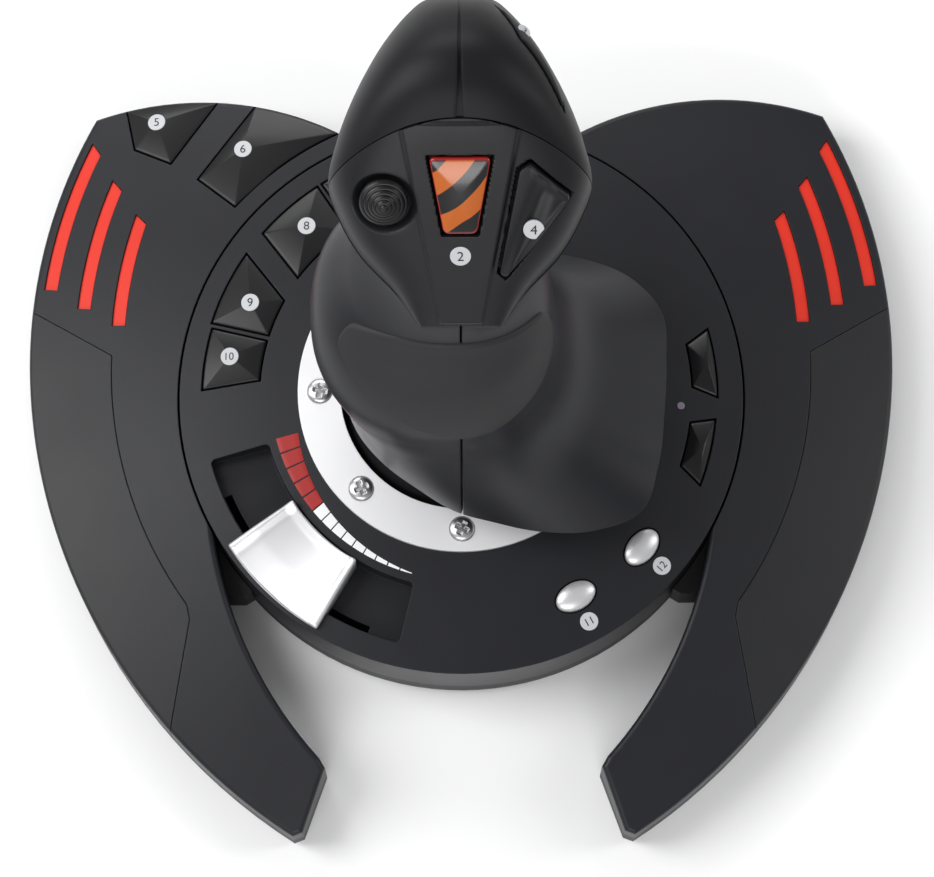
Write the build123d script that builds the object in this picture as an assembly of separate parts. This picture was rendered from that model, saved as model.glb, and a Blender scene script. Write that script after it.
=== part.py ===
from build123d import *
import math
import os

# Flight joystick. Millimetres, +Z up. The origin is on the stick's axis, on the desk that the feet stand on.
# The user sits at -Y. Every top face of the base is cut from one large sphere.

os.makedirs("parts", exist_ok=True)

# ---- driving dimensions ----
FIT = 0.05  # radial play of a pin in its bore
PLAY = 0.35  # gap round a button in its pocket
SEAM = 0.15  # gap between two fixed covers
WALL = 2.2  # thickness of every moulded cover
FOOT_H = 2.0  # height of the rubber feet
FLOOR_T = 3.0  # bottom cover's floor
SPLIT_Z = 8.0  # where the top covers meet the bottom cover
DOME_R = 400.0  # sphere of the base's top
DOME_TOP = 31.0  # its height on the axis
DAIS_R = 67.0
WING_R = 67.5  # the wings' inner edge, round the dais
THROAT_R = 28.4  # opening under the stick
PRESS = 1.0  # travel of a base button
CAP_RISE = 0.8  # a button's top above the cover
PIVOT_Z = 16.0  # gimbal centre
FLOOR_Z = FOOT_H + FLOOR_T

# wing outline, right side
BACK_ROOT = (24.0, 62.6)
BACK_CREST = (62.0, 75.6)
BACK_CORNER = (88.8, 72.6)
OUTER_MID = (99.6, 44.9)
WIDEST = (103.6, 6.0)
CLAW_MID = (88.5, -50.4)
CLAW_TIP = (40.2, -103.6)
TIP_INNER = (37.8, -102.7)
TIP_HEEL = (32.5, -88.0)
HEEL_TOP = (33.9, -85.6)
INNER_MID = (50.8, -59.9)
CLAW_ROOT = (58.6, -33.2)
WEB_TIP = (52.0, -46.0)
WEB_HEEL = (57.5, -46.0)

# side panel's joint line, right side
PANEL_BACK = (106.0, 25.0)
PANEL_ELBOW = (83.6, 11.1)
PANEL_MID = (79.2, -21.2)
PANEL_KNEE = (65.1, -49.6)
PANEL_BEND = (64.4, -53.1)
PANEL_FRONT = (70.2, -84.7)

# stripes: concentric with the wing's outer edge
STRIPE_CENTRE = (-24.45, 12.49)
STRIPE_EDGE_R = 128.2
STRIPE_COUNT = 3
STRIPE_PITCH = 8.85
STRIPE_INSET = 2.3
STRIPE_W = 3.1
STRIPE_SUNK = 0.5
STRIPE_T = 1.5

# trim ring and its screws
RING_IN = 28.6
RING_OUT = 38.7
RING_T = 1.2
RING_SCREWS = 8
RING_SCREW_R = 33.4
HEAD_R = 2.85
SHANK_R = 1.5

# throttle
SLOT_IN = 47.1
SLOT_OUT = 61.5
SLOT_FROM = -165.3
SLOT_TO = -104.0
SLOT_FLOOR = 22.5
SLIT_IN = 59.3  # the lever's blade passes through a slit along the slot's outer wall
SLIT_OUT = 61.1
BLADE_IN = 59.5
BLADE_OUT = 60.9
BLADE_HALF = 4.0
LEVER_ANGLE = -134.05
LEVER_HALF = 12.75
LEVER_LIP = 66.0
LEVER_RISE = 2.5

# boards and switches
BOARD_Z = 13.0
BOARD_T = 1.6
WING_BOARD_Z = 8.6
SWITCH_SIDE = 6.0
SWITCH_H = 3.5
STEM_R = 1.8


def polar(radius, degrees):
    angle = math.radians(degrees)
    return (radius * math.cos(angle), radius * math.sin(angle))


def dome_z(x, y):
    """Height of the base's top face over a point."""
    return DOME_TOP - DOME_R + math.sqrt(DOME_R**2 - x**2 - y**2)


def dome_ball(lift=0.0):
    return Pos(0, 0, DOME_TOP - DOME_R) * Rot(0, 90, 0) * Sphere(DOME_R + lift)


def prism(face, low, high):
    return extrude(Pos(0, 0, low) * face, amount=high - low)


def domed(face, low, lift=0.0):
    """A prism over the face, cut off by the base's sphere, raised by lift."""
    return prism(face, low, DOME_TOP + 8.0) & dome_ball(lift)


def tube(r_out, r_in, low, high):
    ring = Circle(r_out) - Circle(r_in)
    return prism(ring, low, high)


def disc(point, radius, low, high):
    return prism(Pos(*point) * Circle(radius), low, high)


def mirrored(shape):
    return mirror(shape, about=Plane.YZ)


def closed(*curves):
    edges = []
    for curve in curves:
        edges.extend(curve.edges())
    return make_face(edges)


def sector(r_in, r_out, inner, outer):
    """A face between two radii. inner and outer are each (from, to) in degrees."""
    in_mid = (inner[0] + inner[1]) / 2
    out_mid = (outer[0] + outer[1]) / 2
    return closed(
        ThreePointArc(polar(r_out, outer[0]), polar(r_out, out_mid), polar(r_out, outer[1])),
        Line(polar(r_out, outer[1]), polar(r_in, inner[1])),
        ThreePointArc(polar(r_in, inner[1]), polar(r_in, in_mid), polar(r_in, inner[0])),
        Line(polar(r_in, inner[0]), polar(r_out, outer[0])),
    )


def grown(face, amount):
    return offset(face, amount=amount, kind=Kind.INTERSECTION)


def export(name, shape):
    solids = shape.solids()
    body = solids[0] if len(solids) == 1 else Compound(children=list(solids))
    export_step(body, "parts/" + name + ".step")


# ---- base covers ----
def wing_face():
    face = closed(
        ThreePointArc(BACK_ROOT, BACK_CREST, BACK_CORNER),
        ThreePointArc(BACK_CORNER, OUTER_MID, WIDEST),
        ThreePointArc(WIDEST, CLAW_MID, CLAW_TIP),
        Polyline(CLAW_TIP, TIP_INNER, TIP_HEEL, HEEL_TOP),
        ThreePointArc(HEEL_TOP, INNER_MID, CLAW_ROOT),
        Line(CLAW_ROOT, BACK_ROOT),
    )
    return face - Circle(WING_R)


def panel_face():
    far = 140.0
    return closed(
        Line(PANEL_BACK, PANEL_ELBOW),
        ThreePointArc(PANEL_ELBOW, PANEL_MID, PANEL_KNEE),
        Polyline(PANEL_KNEE, PANEL_BEND, PANEL_FRONT, (far, PANEL_FRONT[1]), (far, PANEL_BACK[1]), PANEL_BACK),
    )


def stripe_face(number, gap=0.0):
    """One slanted strip of the wing's stripes, counted inwards from the wing's edge."""
    r_out = STRIPE_EDGE_R - STRIPE_INSET - STRIPE_PITCH * number + gap
    r_in = r_out - STRIPE_W - 2 * gap
    spread = math.degrees(gap / r_out)
    top = 25.2 - 3.4 * number + spread
    low = 7.5 - 2.1 * number - spread
    strip = sector(r_in, r_out, (low, top - 0.9), (low, top))
    return Pos(*STRIPE_CENTRE) * strip


def wing_bosses():
    """Where the bottom cover's screws enter a wing, right side."""
    return [polar(75.5, -2), polar(75.5, -32), (52.0, -84.0), (74.0, 49.0)]


DAIS_BOSSES = [polar(61.0, angle) for angle in (35, 75, 187, -87)]
BOSS_R = 3.2
SCREW_TOP = 14.0


def add_bosses(cover, points):
    for point in points:
        boss = domed(Pos(*point) * Circle(BOSS_R), FLOOR_Z + 0.05, -1.0)
        cover = cover + boss
        cover = cover - disc(point, SHANK_R, 0, SCREW_TOP)
    return cover


def round_top(solid, radius):
    """Rounds the outer top edges, but not the ones round the dais."""
    chosen = []
    for edge in solid.edges():
        middle = edge.position_at(0.5)
        reach = math.hypot(middle.X, middle.Y)
        near_top = abs(middle.Z - dome_z(middle.X, middle.Y)) < 0.05
        if near_top and reach > WING_R + 1.0 and abs(edge.position_at(0).Z - SPLIT_Z) > 1.0:
            chosen.append(edge)
    return fillet(chosen, radius)


WING = wing_face()
WING_SOLID = round_top(domed(WING, SPLIT_Z), 1.2)
WING_INNER = grown(wing_face(), -WALL)
WING_INSET = grown(wing_face(), -0.4)
WING_HOLLOW = domed(WING_INNER, SPLIT_Z - 1.0, -WALL)
PANEL = panel_face()


def wing_cover():
    cover = WING_SOLID - WING_HOLLOW
    cover = cover - prism(grown(PANEL, SEAM), 0, 50)
    for number in range(STRIPE_COUNT):
        cover = cover - prism(stripe_face(number, 0.1), 0, 50)
    return add_bosses(cover, wing_bosses())


def side_panel():
    return (WING_SOLID & prism(PANEL, 0, 50)) - WING_HOLLOW


def stripe_inserts():
    inserts = []
    for number in range(STRIPE_COUNT):
        strip = domed(stripe_face(number), 0, -STRIPE_SUNK)
        inserts.append(strip - dome_ball(-STRIPE_SUNK - STRIPE_T))
    return Compound(children=inserts)


def web_face():
    """The low web in the corner between the dais and a claw, right side."""
    corners = [polar(DAIS_R - 1, -29), polar(DAIS_R - 1, -42), WEB_TIP, WEB_HEEL, (60.5, -33.0)]
    return make_face(Polyline(*corners, close=True).edges())


def bottom_cover():
    right = prism(WING, FOOT_H, SPLIT_Z)
    tray = prism(Circle(DAIS_R), FOOT_H, SPLIT_Z)
    wing_floor = prism(WING_INNER, FLOOR_Z, SPLIT_Z + 1)
    joint = prism(sector(DAIS_R - 1, WING_R + 1, (-28.5, 68.5), (-28.5, 68.5)), FOOT_H, SPLIT_Z)
    web = prism(web_face(), FOOT_H, SPLIT_Z + 6.0)
    tray = tray + right + mirrored(right) + joint + mirrored(joint)
    tray = tray - prism(Circle(DAIS_R - WALL), FLOOR_Z, SPLIT_Z + 10) - wing_floor - mirrored(wing_floor)
    web = web - prism(Circle(DAIS_R + SEAM), SPLIT_Z, 60) - prism(WING, SPLIT_Z, 60)
    tray = tray + web + mirrored(web)
    for point in screw_points():
        tray = tray - disc(point, SHANK_R + 0.2, 0, 20) - disc(point, HEAD_R + 0.2, 0, FOOT_H + 1.6)
    for angle in (10, 95, 170):
        tray = tray + disc(polar(54.5, angle), 2.2, FLOOR_Z - 0.5, BOARD_Z)
    return tray + disc((-60.0, 64.4), 3.0, FLOOR_Z - 0.5, WING_BOARD_Z)


def screw_points():
    points = list(DAIS_BOSSES)
    for x, y in wing_bosses():
        points.append((x, y))
        points.append((-x, y))
    return points


def base_screws():
    screws = []
    for point in screw_points():
        head = disc(point, HEAD_R, FOOT_H + 0.4, FOOT_H + 1.6)
        shank = disc(point, SHANK_R, FOOT_H + 1.6, SCREW_TOP)
        screws.append(head + shank)
    return Compound(children=screws)


def rubber_feet():
    feet = []
    for x, y in [(43.0, -86.0), (84.0, 60.0)]:
        feet.append(disc((x, y), 6.0, 0, FOOT_H))
        feet.append(disc((-x, y), 6.0, 0, FOOT_H))
    feet.append(disc((0, 0), 8.0, 0, FOOT_H))
    return Compound(children=feet)


# ---- base buttons ----
def rear_outer():
    face = closed(
        Polyline((-81.9, 78.0), (-78.9, 63.7), (-70.1, 59.5), (-57.6, 77.0), (-57.6, 80.0), (-81.9, 80.0), (-81.9, 78.0))
    )
    return face & mirrored(WING_INSET)


def rear_inner():
    far = (-47.6, 80.0)
    face = closed(
        Polyline((-63.2, 54.9), (-54.2, 47.4)),
        ThreePointArc((-54.2, 47.4), polar(71.9, 126.5), polar(71.9, 114.5)),
        Polyline(polar(71.9, 114.5), (-30.5, 80.0), far, (-49.4, 73.6), (-63.2, 54.9)),
    )
    return face & mirrored(WING_INSET)


DAIS_BUTTONS = {
    "button_10": sector(48.0, 61.5, (164.3, 175.9), (164.4, 178.5)),
    "button_9": sector(48.0, 62.0, (151.5, 162.5), (145.7, 163.1)),
    "button_8": sector(48.3, 62.0, (124.0, 143.6), (123.6, 139.7)),
    "button_7": sector(48.3, 62.0, (102.4, 122.0), (106.3, 122.4)),
    "preset_button": sector(55.0, 60.8, (1.5, 12.3), (-0.8, 14.9)),
    "mapping_button": sector(54.8, 60.5, (-18.9, -7.7), (-21.5, -6.1)),
}
WING_BUTTONS = {"button_5": rear_outer(), "button_6": rear_inner()}
WING_STEMS = {"button_5": (-71.0, 67.6), "button_6": (-49.0, 60.8)}
OVAL_PLACES = {"button_11": (26.6, -49.0), "button_12": (42.3, -37.3)}
OVAL_LONG = 5.0
OVAL_SHORT = 3.2
DAIS_CAP_Z = 21.8
WING_CAP_Z = 15.4


def oval_face(place, gap=0.0):
    turn = math.degrees(math.atan2(place[1], place[0])) + 90
    return Pos(*place) * Rot(0, 0, turn) * Ellipse(OVAL_LONG + gap, OVAL_SHORT + gap)


def middle(face):
    centre = face.center()
    return (centre.X, centre.Y)


def button(face, place, cap_z, board_top):
    """A cap, and the stem that reaches down to its switch with room for the press."""
    cap = domed(face, cap_z, CAP_RISE)
    stem = disc(place, STEM_R, board_top + SWITCH_H + PRESS + 0.3, cap_z + 1.0)
    return cap + stem


def switch_block(place, board_top):
    body = Pos(place[0], place[1], board_top + SWITCH_H / 2) * Box(SWITCH_SIDE, SWITCH_SIDE, SWITCH_H)
    return fillet(body.edges().filter_by(Axis.Z), 0.6)


def tact_switches():
    blocks = []
    for face in DAIS_BUTTONS.values():
        blocks.append(switch_block(middle(face), BOARD_Z + BOARD_T))
    for place in OVAL_PLACES.values():
        blocks.append(switch_block(place, BOARD_Z + BOARD_T))
    for place in WING_STEMS.values():
        blocks.append(switch_block(place, WING_BOARD_Z + BOARD_T))
    return Compound(children=blocks)


# ---- dais ----
LIGHT_PLACE = (52.1, -3.3)
LIGHT_R = 0.9


def throttle_slot(gap=0.0):
    spread = math.degrees(gap / SLOT_IN)
    span = (SLOT_FROM - spread, SLOT_TO + spread)
    return sector(SLOT_IN - gap, SLOT_OUT + gap, span, span)


def dais_cover():
    solid = domed(Circle(DAIS_R), SPLIT_Z)
    cover = solid - domed(Circle(DAIS_R - WALL), SPLIT_Z - 1, -WALL)
    cover = cover + domed(throttle_slot(WALL), SLOT_FLOOR - WALL, -0.5)
    cover = add_bosses(cover, DAIS_BOSSES)
    cover = cover - prism(Circle(THROAT_R), 0, 50)
    cover = cover - prism(fillet(throttle_slot().vertices(), 1.2), SLOT_FLOOR, 50)
    slit = (LEVER_ANGLE - 23, LEVER_ANGLE + 22.5)
    cover = cover - prism(sector(SLIT_IN, SLIT_OUT, slit, slit), 0, 50)
    for face in DAIS_BUTTONS.values():
        cover = cover - prism(grown(face, PLAY), DAIS_CAP_Z - 4, 50)
    for place in OVAL_PLACES.values():
        cover = cover - prism(oval_face(place, PLAY), DAIS_CAP_Z - 4, 50)
    for number in range(RING_SCREWS):
        cover = cover - disc(polar(RING_SCREW_R, 45 * number), SHANK_R + 0.2, 0, 50)
    cover = cover - disc(LIGHT_PLACE, LIGHT_R, 0, 50)
    cable_hole = Pos(0, DAIS_R, CABLE_Z) * Rot(90, 0, 0) * Cylinder(GROMMET_R, 12)
    return cover - cable_hole


CABLE_Z = 14.0
CABLE_R = 2.6
GROMMET_R = 4.5


def cable_inlet():
    body = Pos(0, DAIS_R - 1.0, CABLE_Z) * Rot(90, 0, 0) * Cylinder(GROMMET_R, 8.0)
    collar = Pos(0, DAIS_R + 3.0, CABLE_Z) * Rot(90, 0, 0) * Cylinder(GROMMET_R + 1.2, 2.4)
    bore = Pos(0, DAIS_R, CABLE_Z) * Rot(90, 0, 0) * Cylinder(CABLE_R, 20)
    return body + collar - bore


def trim_ring():
    ring = domed(Circle(RING_OUT) - Circle(RING_IN), 20, RING_T) - dome_ball()
    for number in range(RING_SCREWS):
        place = polar(RING_SCREW_R, 45 * number)
        ring = ring - disc(place, SHANK_R + 0.2, 0, 50) - disc(place, HEAD_R + 0.15, 30.25, 50)
    return ring


def trim_screws():
    screws = []
    for number in range(RING_SCREWS):
        place = polar(RING_SCREW_R, 45 * number)
        head = disc(place, HEAD_R, 30.25, 31.8)
        shank = disc(place, SHANK_R, 21.0, 30.25)
        screw = head + shank
        for turn in (20, 110):
            screw = screw - Pos(place[0], place[1], 31.6) * Rot(0, 0, turn) * Box(3.4, 0.7, 1.6)
        screws.append(screw)
    return Compound(children=screws)


def status_light():
    return disc(LIGHT_PLACE, LIGHT_R, BOARD_Z + BOARD_T, 31) & dome_ball(0.2)


def main_board():
    board = prism(sector(40.0, 57.5, (-68, 184), (-68, 184)), BOARD_Z, BOARD_Z + BOARD_T)
    return board


def wing_board():
    return Pos(-60.0, 64.4, WING_BOARD_Z + BOARD_T / 2) * Rot(0, 0, -18) * Box(30, 8, BOARD_T)


def weight_plate():
    return tube(51.0, 36.0, FLOOR_Z, FLOOR_Z + 3.0)


# ---- throttle ----
CARRIER_Z = 9.0
CARRIER_T = 3.0
HOUSING_R = 32.9


def lever_blade(r_in=BLADE_IN):
    span = (LEVER_ANGLE - BLADE_HALF, LEVER_ANGLE + BLADE_HALF)
    return sector(r_in, BLADE_OUT, span, span)


def throttle_lever():
    low = (LEVER_ANGLE - LEVER_HALF, LEVER_ANGLE + LEVER_HALF)
    block = domed(sector(SLOT_IN + 0.5, SLOT_OUT - 0.5, low, low), SLOT_FLOOR + 0.4, LEVER_RISE)
    lip = domed(sector(SLOT_IN + 0.5, LEVER_LIP, low, low), 20, LEVER_RISE) - dome_ball(0.35)
    return block + lip + prism(lever_blade(), 15, 24)


def throttle_carrier():
    ring = tube(36.6, HOUSING_R + FIT, CARRIER_Z, CARRIER_Z + CARRIER_T)
    reach = prism(lever_blade(35.0), CARRIER_Z, CARRIER_Z + CARRIER_T)
    return ring + reach + prism(lever_blade(), CARRIER_Z, 15)


def throttle_sensor():
    """A curved resistive track under the carrier's arm."""
    span = (LEVER_ANGLE - 26, LEVER_ANGLE + 26)
    return prism(sector(53.0, 58.0, span, span), FLOOR_Z, FLOOR_Z + 1.6)


# ---- gimbal ----
CUP_IN = 21.9
CUP_OUT = 23.9
CUP_TOP = 23.2
GIMBAL_OUT = 16.0
GIMBAL_IN = 12.5
PIN_R = 1.5
SHAFT_R = 6.0
SHAFT_TOP = 98.0
SHADE_R = 30.2  # the pivot dome, whose rim stays under the cover when the stick leans
SHADE_T = 1.6
SHADE_LOW = 19.2


def along_x(radius, x0, x1):
    return Pos((x0 + x1) / 2, 0, PIVOT_Z) * Rot(0, 90, 0) * Cylinder(radius, x1 - x0)


def along_y(radius, y0, y1):
    return Pos(0, (y0 + y1) / 2, PIVOT_Z) * Rot(90, 0, 0) * Cylinder(radius, y1 - y0)


def gimbal_housing():
    body = tube(HOUSING_R, HOUSING_R - 2.0, FLOOR_Z, 25.0) + prism(Circle(HOUSING_R), FLOOR_Z, FLOOR_Z + 2.0)
    body = body + tube(CUP_OUT, CUP_IN, FLOOR_Z + 1.0, CUP_TOP)
    body = body + tube(HOUSING_R + 1.4, HOUSING_R - 1.0, CARRIER_Z - 1.0, CARRIER_Z - 0.1)
    flange = domed(Circle(RING_OUT - 0.3) - Circle(HOUSING_R - 2.0), 23.5, -WALL)
    body = body + flange
    for number in range(RING_SCREWS):
        body = body - disc(polar(RING_SCREW_R, 45 * number), SHANK_R, 21.0, 50)
    return body - along_x(PIN_R + FIT, -CUP_OUT - 1, CUP_OUT + 1)


def gimbal_ring():
    ring = tube(GIMBAL_OUT, GIMBAL_IN, PIVOT_Z - 3, PIVOT_Z + 3)
    for side in (-1, 1):
        inner, outer = sorted((side * (GIMBAL_OUT - 1), side * (CUP_OUT - 0.2)))
        ring = ring + along_x(PIN_R, inner, outer)
    return ring - along_y(PIN_R + FIT, -GIMBAL_OUT - 1, GIMBAL_OUT + 1)


def stick_shaft():
    shaft = prism(Circle(SHAFT_R), 9.5, SHAFT_TOP)
    shaft = shaft + Pos(0, 0, PIVOT_Z) * Sphere(7.6)
    shaft = shaft + prism(Circle(13.0), 36.0, 37.6)
    shaft = shaft + along_y(PIN_R, -GIMBAL_OUT + 0.3, GIMBAL_OUT - 0.3)
    return shaft - prism(Circle(SHAFT_R - 2.0), 0, SHAFT_TOP + 1)


def pivot_dome():
    ball = Pos(0, 0, PIVOT_Z) * (Sphere(SHADE_R) - Sphere(SHADE_R - SHADE_T))
    cap = ball & prism(Circle(SHADE_R + 1), SHADE_LOW, PIVOT_Z + SHADE_R + 1)
    return cap - prism(Circle(SHAFT_R), 0, 60)


def coil(radius, wire, low, high, turns):
    """A round-wire helix about Z."""
    rise = (high - low) / turns
    path = Pos(0, 0, low) * Helix(pitch=rise, height=high - low, radius=radius)
    start = path.position_at(0)
    section = Plane(origin=start, z_dir=path.tangent_at(0)) * Circle(wire)
    return sweep(section, path=path)


def pitch_pot():
    body = Pos(18.9, 0, PIVOT_Z) * Box(4.6, 10.0, 9.0)
    return body - along_x(PIN_R + FIT, 10, 30)


def roll_pot():
    body = Pos(0, 9.9, PIVOT_Z) * Box(7.0, 3.4, 5.6)
    return body - along_y(PIN_R + FIT, 5, 20)


def spring_plate():
    return tube(CUP_OUT - 0.1, 10.5, CUP_TOP, CUP_TOP + 1.4)


# ---- grip ----
# level: height, centre x and y, half width in x and y of the closed curve at that height
GRIP_LEVELS = [
    (44.0, 0.0, -2.5, 27.5, 28.5),
    (52.0, -0.8, -2.3, 26.0, 27.6),
    (62.0, -2.2, -2.0, 24.2, 26.6),
    (74.0, -3.4, -1.4, 24.4, 26.2),
    (86.0, -5.0, -0.6, 26.0, 26.2),
    (97.0, -6.2, 0.8, 27.0, 26.0),
    (107.0, -6.0, 4.0, 25.6, 24.0),
    (117.0, -4.0, 7.4, 20.6, 19.0),
    (128.0, -1.4, 8.2, 15.2, 16.6),
    (140.0, 0.0, 8.2, 12.8, 15.8),
    (150.6, 0.0, 8.0, 12.4, 15.6),
]
# skirt: angle and radius round the axis, with the hand rest on the right
SKIRT = [
    (-92, 32.3),
    (-77, 36.0),
    (-63, 42.0),
    (-50, 48.6),
    (-39, 53.0),
    (-26, 50.8),
    (-12, 48.3),
    (3, 48.0),
    (17, 49.2),
    (29, 46.4),
    (43, 40.6),
    (60, 34.0),
    (80, 28.0),
    (103, 26.0),
    (130, 26.2),
    (155, 27.0),
    (180, 27.5),
    (205, 27.4),
    (230, 27.3),
    (250, 28.6),
]
FLARE_TOP = 95.0  # the hand rest has run out into the grip at this height
FLARE_POWER = 2.6
SKIRT_TILT = 0.07  # the skirt's lower edge rises to the right
GRIP_N = 2.25  # roundness of the grip's section: 2 is an ellipse
DIAPHRAGMS = [(58.0, 65.0), (88.0, 95.0)]


def signed_power(value, power):
    return math.copysign(abs(value) ** power, value)


def grip_point(level, angle, skirt_r, inset):
    z, cx, cy, half_x, half_y = level
    turn = math.radians(angle)
    x = cx + (half_x - inset) * signed_power(math.cos(turn), 2 / GRIP_N)
    y = cy + (half_y - inset) * signed_power(math.sin(turn), 2 / GRIP_N)
    share = max(0.0, (FLARE_TOP - z) / (FLARE_TOP - GRIP_LEVELS[0][0]))
    flare = share**FLARE_POWER
    sx, sy = polar(skirt_r - inset, angle)
    x = x + flare * (sx - x)
    y = y + flare * (sy - y)
    return (x, y, z + SKIRT_TILT * share * x)


def grip_solid(inset=0.0):
    wires = []
    for level in GRIP_LEVELS:
        points = [grip_point(level, angle, radius, inset) for angle, radius in SKIRT]
        wires.append(Wire([Edge.make_spline(points, periodic=True)]))
    return Solid.make_loft(wires)


def half_space(side):
    """The box on one side of the joint between the two halves: -1 left, 1 right."""
    return Pos(side * (100 + SEAM / 2), 0, 100) * Box(200, 200, 400)


# trigger, in the plane across the joint
TRIGGER_PIN = (26.0, 146.0)
TRIGGER_HALF = 6.5


def trigger_pocket():
    return Pos(0, 40, 130.5) * Box(2 * TRIGGER_HALF + 1.4, 50, 45)


def pad_outline():
    """The pad's crescent, seen from above."""
    return closed(
        Spline((-25.2, -6.0), (-17.9, -16.4), (-9.5, -24.0), (0.0, -27.0), (9.5, -24.9), (16.0, -16.0), (18.6, -3.0)),
        Spline((18.6, -3.0), (8.3, -8.8), (-0.5, -10.4), (-17.6, -7.6), (-25.2, -6.0)),
    )


PAD_T = 0.8  # the pad's skin stands this far out of the grip
PAD_Z = (84.0, 124.0)
SCREW_PLACES = [(-16.0, 61.5), (16.0, 61.5), (-16.0, 91.5), (17.0, 91.5)]


def grip_body():
    outer = grip_solid()
    cavity = grip_solid(WALL)
    for low, high in DIAPHRAGMS:
        cavity = cavity - Pos(0, 0, (low + high) / 2) * Box(120, 120, high - low)
    body = outer - cavity
    cheeks = Pos(0, 24, 143) * Box(22, 16, 15)
    body = body + (cheeks & outer)
    body = body - trigger_pocket()
    body = body - Pos(0, TRIGGER_PIN[0], TRIGGER_PIN[1]) * Rot(0, 90, 0) * Cylinder(SHANK_R, 21)
    body = body - prism(Circle(SHAFT_R + FIT), 40, 110)
    for y, z in SCREW_PLACES:
        body = body - Pos(0, y, z) * Rot(0, 90, 0) * Cylinder(SHANK_R, 24)
        body = body - Pos(-40, y, z) * Rot(0, 90, 0) * Cylinder(HEAD_R, 60)
    return body


def palm_pad():
    skin = grip_solid(-PAD_T) - grip_solid()
    return skin & prism(pad_outline(), *PAD_Z)


def grip_screws():
    screws = []
    for y, z in SCREW_PLACES:
        shank = Pos(0, y, z) * Rot(0, 90, 0) * Cylinder(SHANK_R, 24)
        head = Pos(-11.4, y, z) * Rot(0, 90, 0) * Cylinder(HEAD_R, 2.8)
        screws.append((shank & Pos(4, y, z) * Box(28, 10, 10)) + head)
    return Compound(children=screws)


# ---- head ----
# station: y, half width, top z, bottom z, flatness of the top
HEAD_STATIONS = [
    (-16.8, 8.4, 157.0, 153.5, 3.2),
    (-10.0, 13.4, 163.6, 151.6, 3.6),
    (-3.0, 20.4, 170.3, 151.0, 3.8),
    (4.0, 24.8, 177.0, 151.0, 3.6),
    (10.0, 27.0, 182.6, 151.0, 3.0),
    (17.0, 25.6, 188.8, 151.4, 2.6),
    (24.0, 23.0, 193.2, 152.2, 2.3),
    (31.0, 19.6, 194.0, 153.6, 2.2),
    (38.0, 15.6, 190.6, 156.0, 2.2),
    (44.0, 11.2, 184.6, 159.4, 2.3),
    (47.6, 8.0, 178.6, 163.0, 2.6),
]
WIDE_SHARE = 0.45  # height of the widest line, as a share of the section's height
FACE_FOOT = (-16.8, 157.0)
FACE_HEAD = (17.7, 189.4)
SEAM_MID_Y = 17.7
SEAM_SIDE_Y = 9.5
HEAD_SAMPLES = 24


def head_point(station, turn, inset):
    y, half, top, low, flat = station
    wide_z = low + WIDE_SHARE * (top - low)
    c, s = math.cos(turn), math.sin(turn)
    power = 2 / flat if s > 0 else 2 / 2.6
    height = (top - wide_z if s > 0 else wide_z - low) - inset
    x = (half - inset) * signed_power(c, power)
    return (x, y, wide_z + height * signed_power(s, power))


def head_solid(inset=0.0):
    """The head's outer form, or the same form set inwards, without its two end stations."""
    stations = HEAD_STATIONS[1:-1] if inset > 0 else HEAD_STATIONS
    wires = []
    for station in stations:
        points = []
        for number in range(HEAD_SAMPLES):
            turn = 2 * math.pi * (number + 0.5) / HEAD_SAMPLES
            points.append(head_point(station, turn, inset))
        wires.append(Wire([Edge.make_spline(points, periodic=True)]))
    return Solid.make_loft(wires)


FACE_SLOPE = math.atan2(FACE_HEAD[1] - FACE_FOOT[1], FACE_HEAD[0] - FACE_FOOT[0])
FACE_UP = (0.0, math.cos(FACE_SLOPE), math.sin(FACE_SLOPE))
FACE_OUT = (0.0, -math.sin(FACE_SLOPE), math.cos(FACE_SLOPE))


def face_place(x, along, out=0.0):
    """A point on the face: x across, along from its lower edge upwards, out from its plane."""
    y = FACE_FOOT[0] + along * FACE_UP[1] + out * FACE_OUT[1]
    z = FACE_FOOT[1] + along * FACE_UP[2] + out * FACE_OUT[2]
    return Vector(x, y, z)


def face_plane(x=0.0, along=0.0, out=0.0):
    return Plane(origin=face_place(x, along, out), x_dir=(1, 0, 0), z_dir=FACE_OUT)


def face_prism(outline, low, high):
    """A prism across the face, from low to high out of its plane. The outline is in (x, along)."""
    return extrude(face_plane(out=low) * outline, amount=high - low)


def face_region(gap=0.0):
    """The part of the head in front of the curved seam and above its widest line."""
    reach = 40.0
    drop = (SEAM_MID_Y - SEAM_SIDE_Y) * (reach / 27.0) ** 2
    seam = ThreePointArc(
        (-reach, SEAM_MID_Y - drop + gap), (0, SEAM_MID_Y + gap), (reach, SEAM_MID_Y - drop + gap)
    )
    outline = closed(
        seam,
        Polyline((reach, SEAM_MID_Y - drop + gap), (reach, -60), (-reach, -60), (-reach, SEAM_MID_Y - drop + gap)),
    )
    column = prism(outline, 140, 210)
    under = Plane(origin=(0, -18.0, 155.4 - gap), x_dir=(1, 0, 0), z_dir=(0, -0.40, 0.9165))
    return column & extrude(under * Rectangle(200, 200), amount=100)


FACE_T = 2.4
HAT_PLACE = (-15.4, 28.0)
HAT_WELL_R = 6.6
BUTTON_2 = [(-3.4, 21.6), (3.4, 21.6), (6.3, 38.9), (-6.3, 38.9)]
BUTTON_4 = [(8.0, 12.4), (9.3, 11.0), (22.4, 29.0), (14.2, 37.2), (12.0, 35.8)]
BUTTON_3 = [(9.6, 43.5), (13.4, 39.6), (22.6, 24.8), (22.6, 22.6), (10.4, 33.6)]
BUTTON_3_AXIS = (0.60, 0.35, 0.72)
HEAD_PLAY = 0.3


def outline_2():
    return fillet(make_face(Polyline(*BUTTON_2, close=True).edges()).vertices(), 1.0)


def outline_4():
    return fillet(make_face(Polyline(*BUTTON_4, close=True).edges()).vertices(), 0.6)


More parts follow.
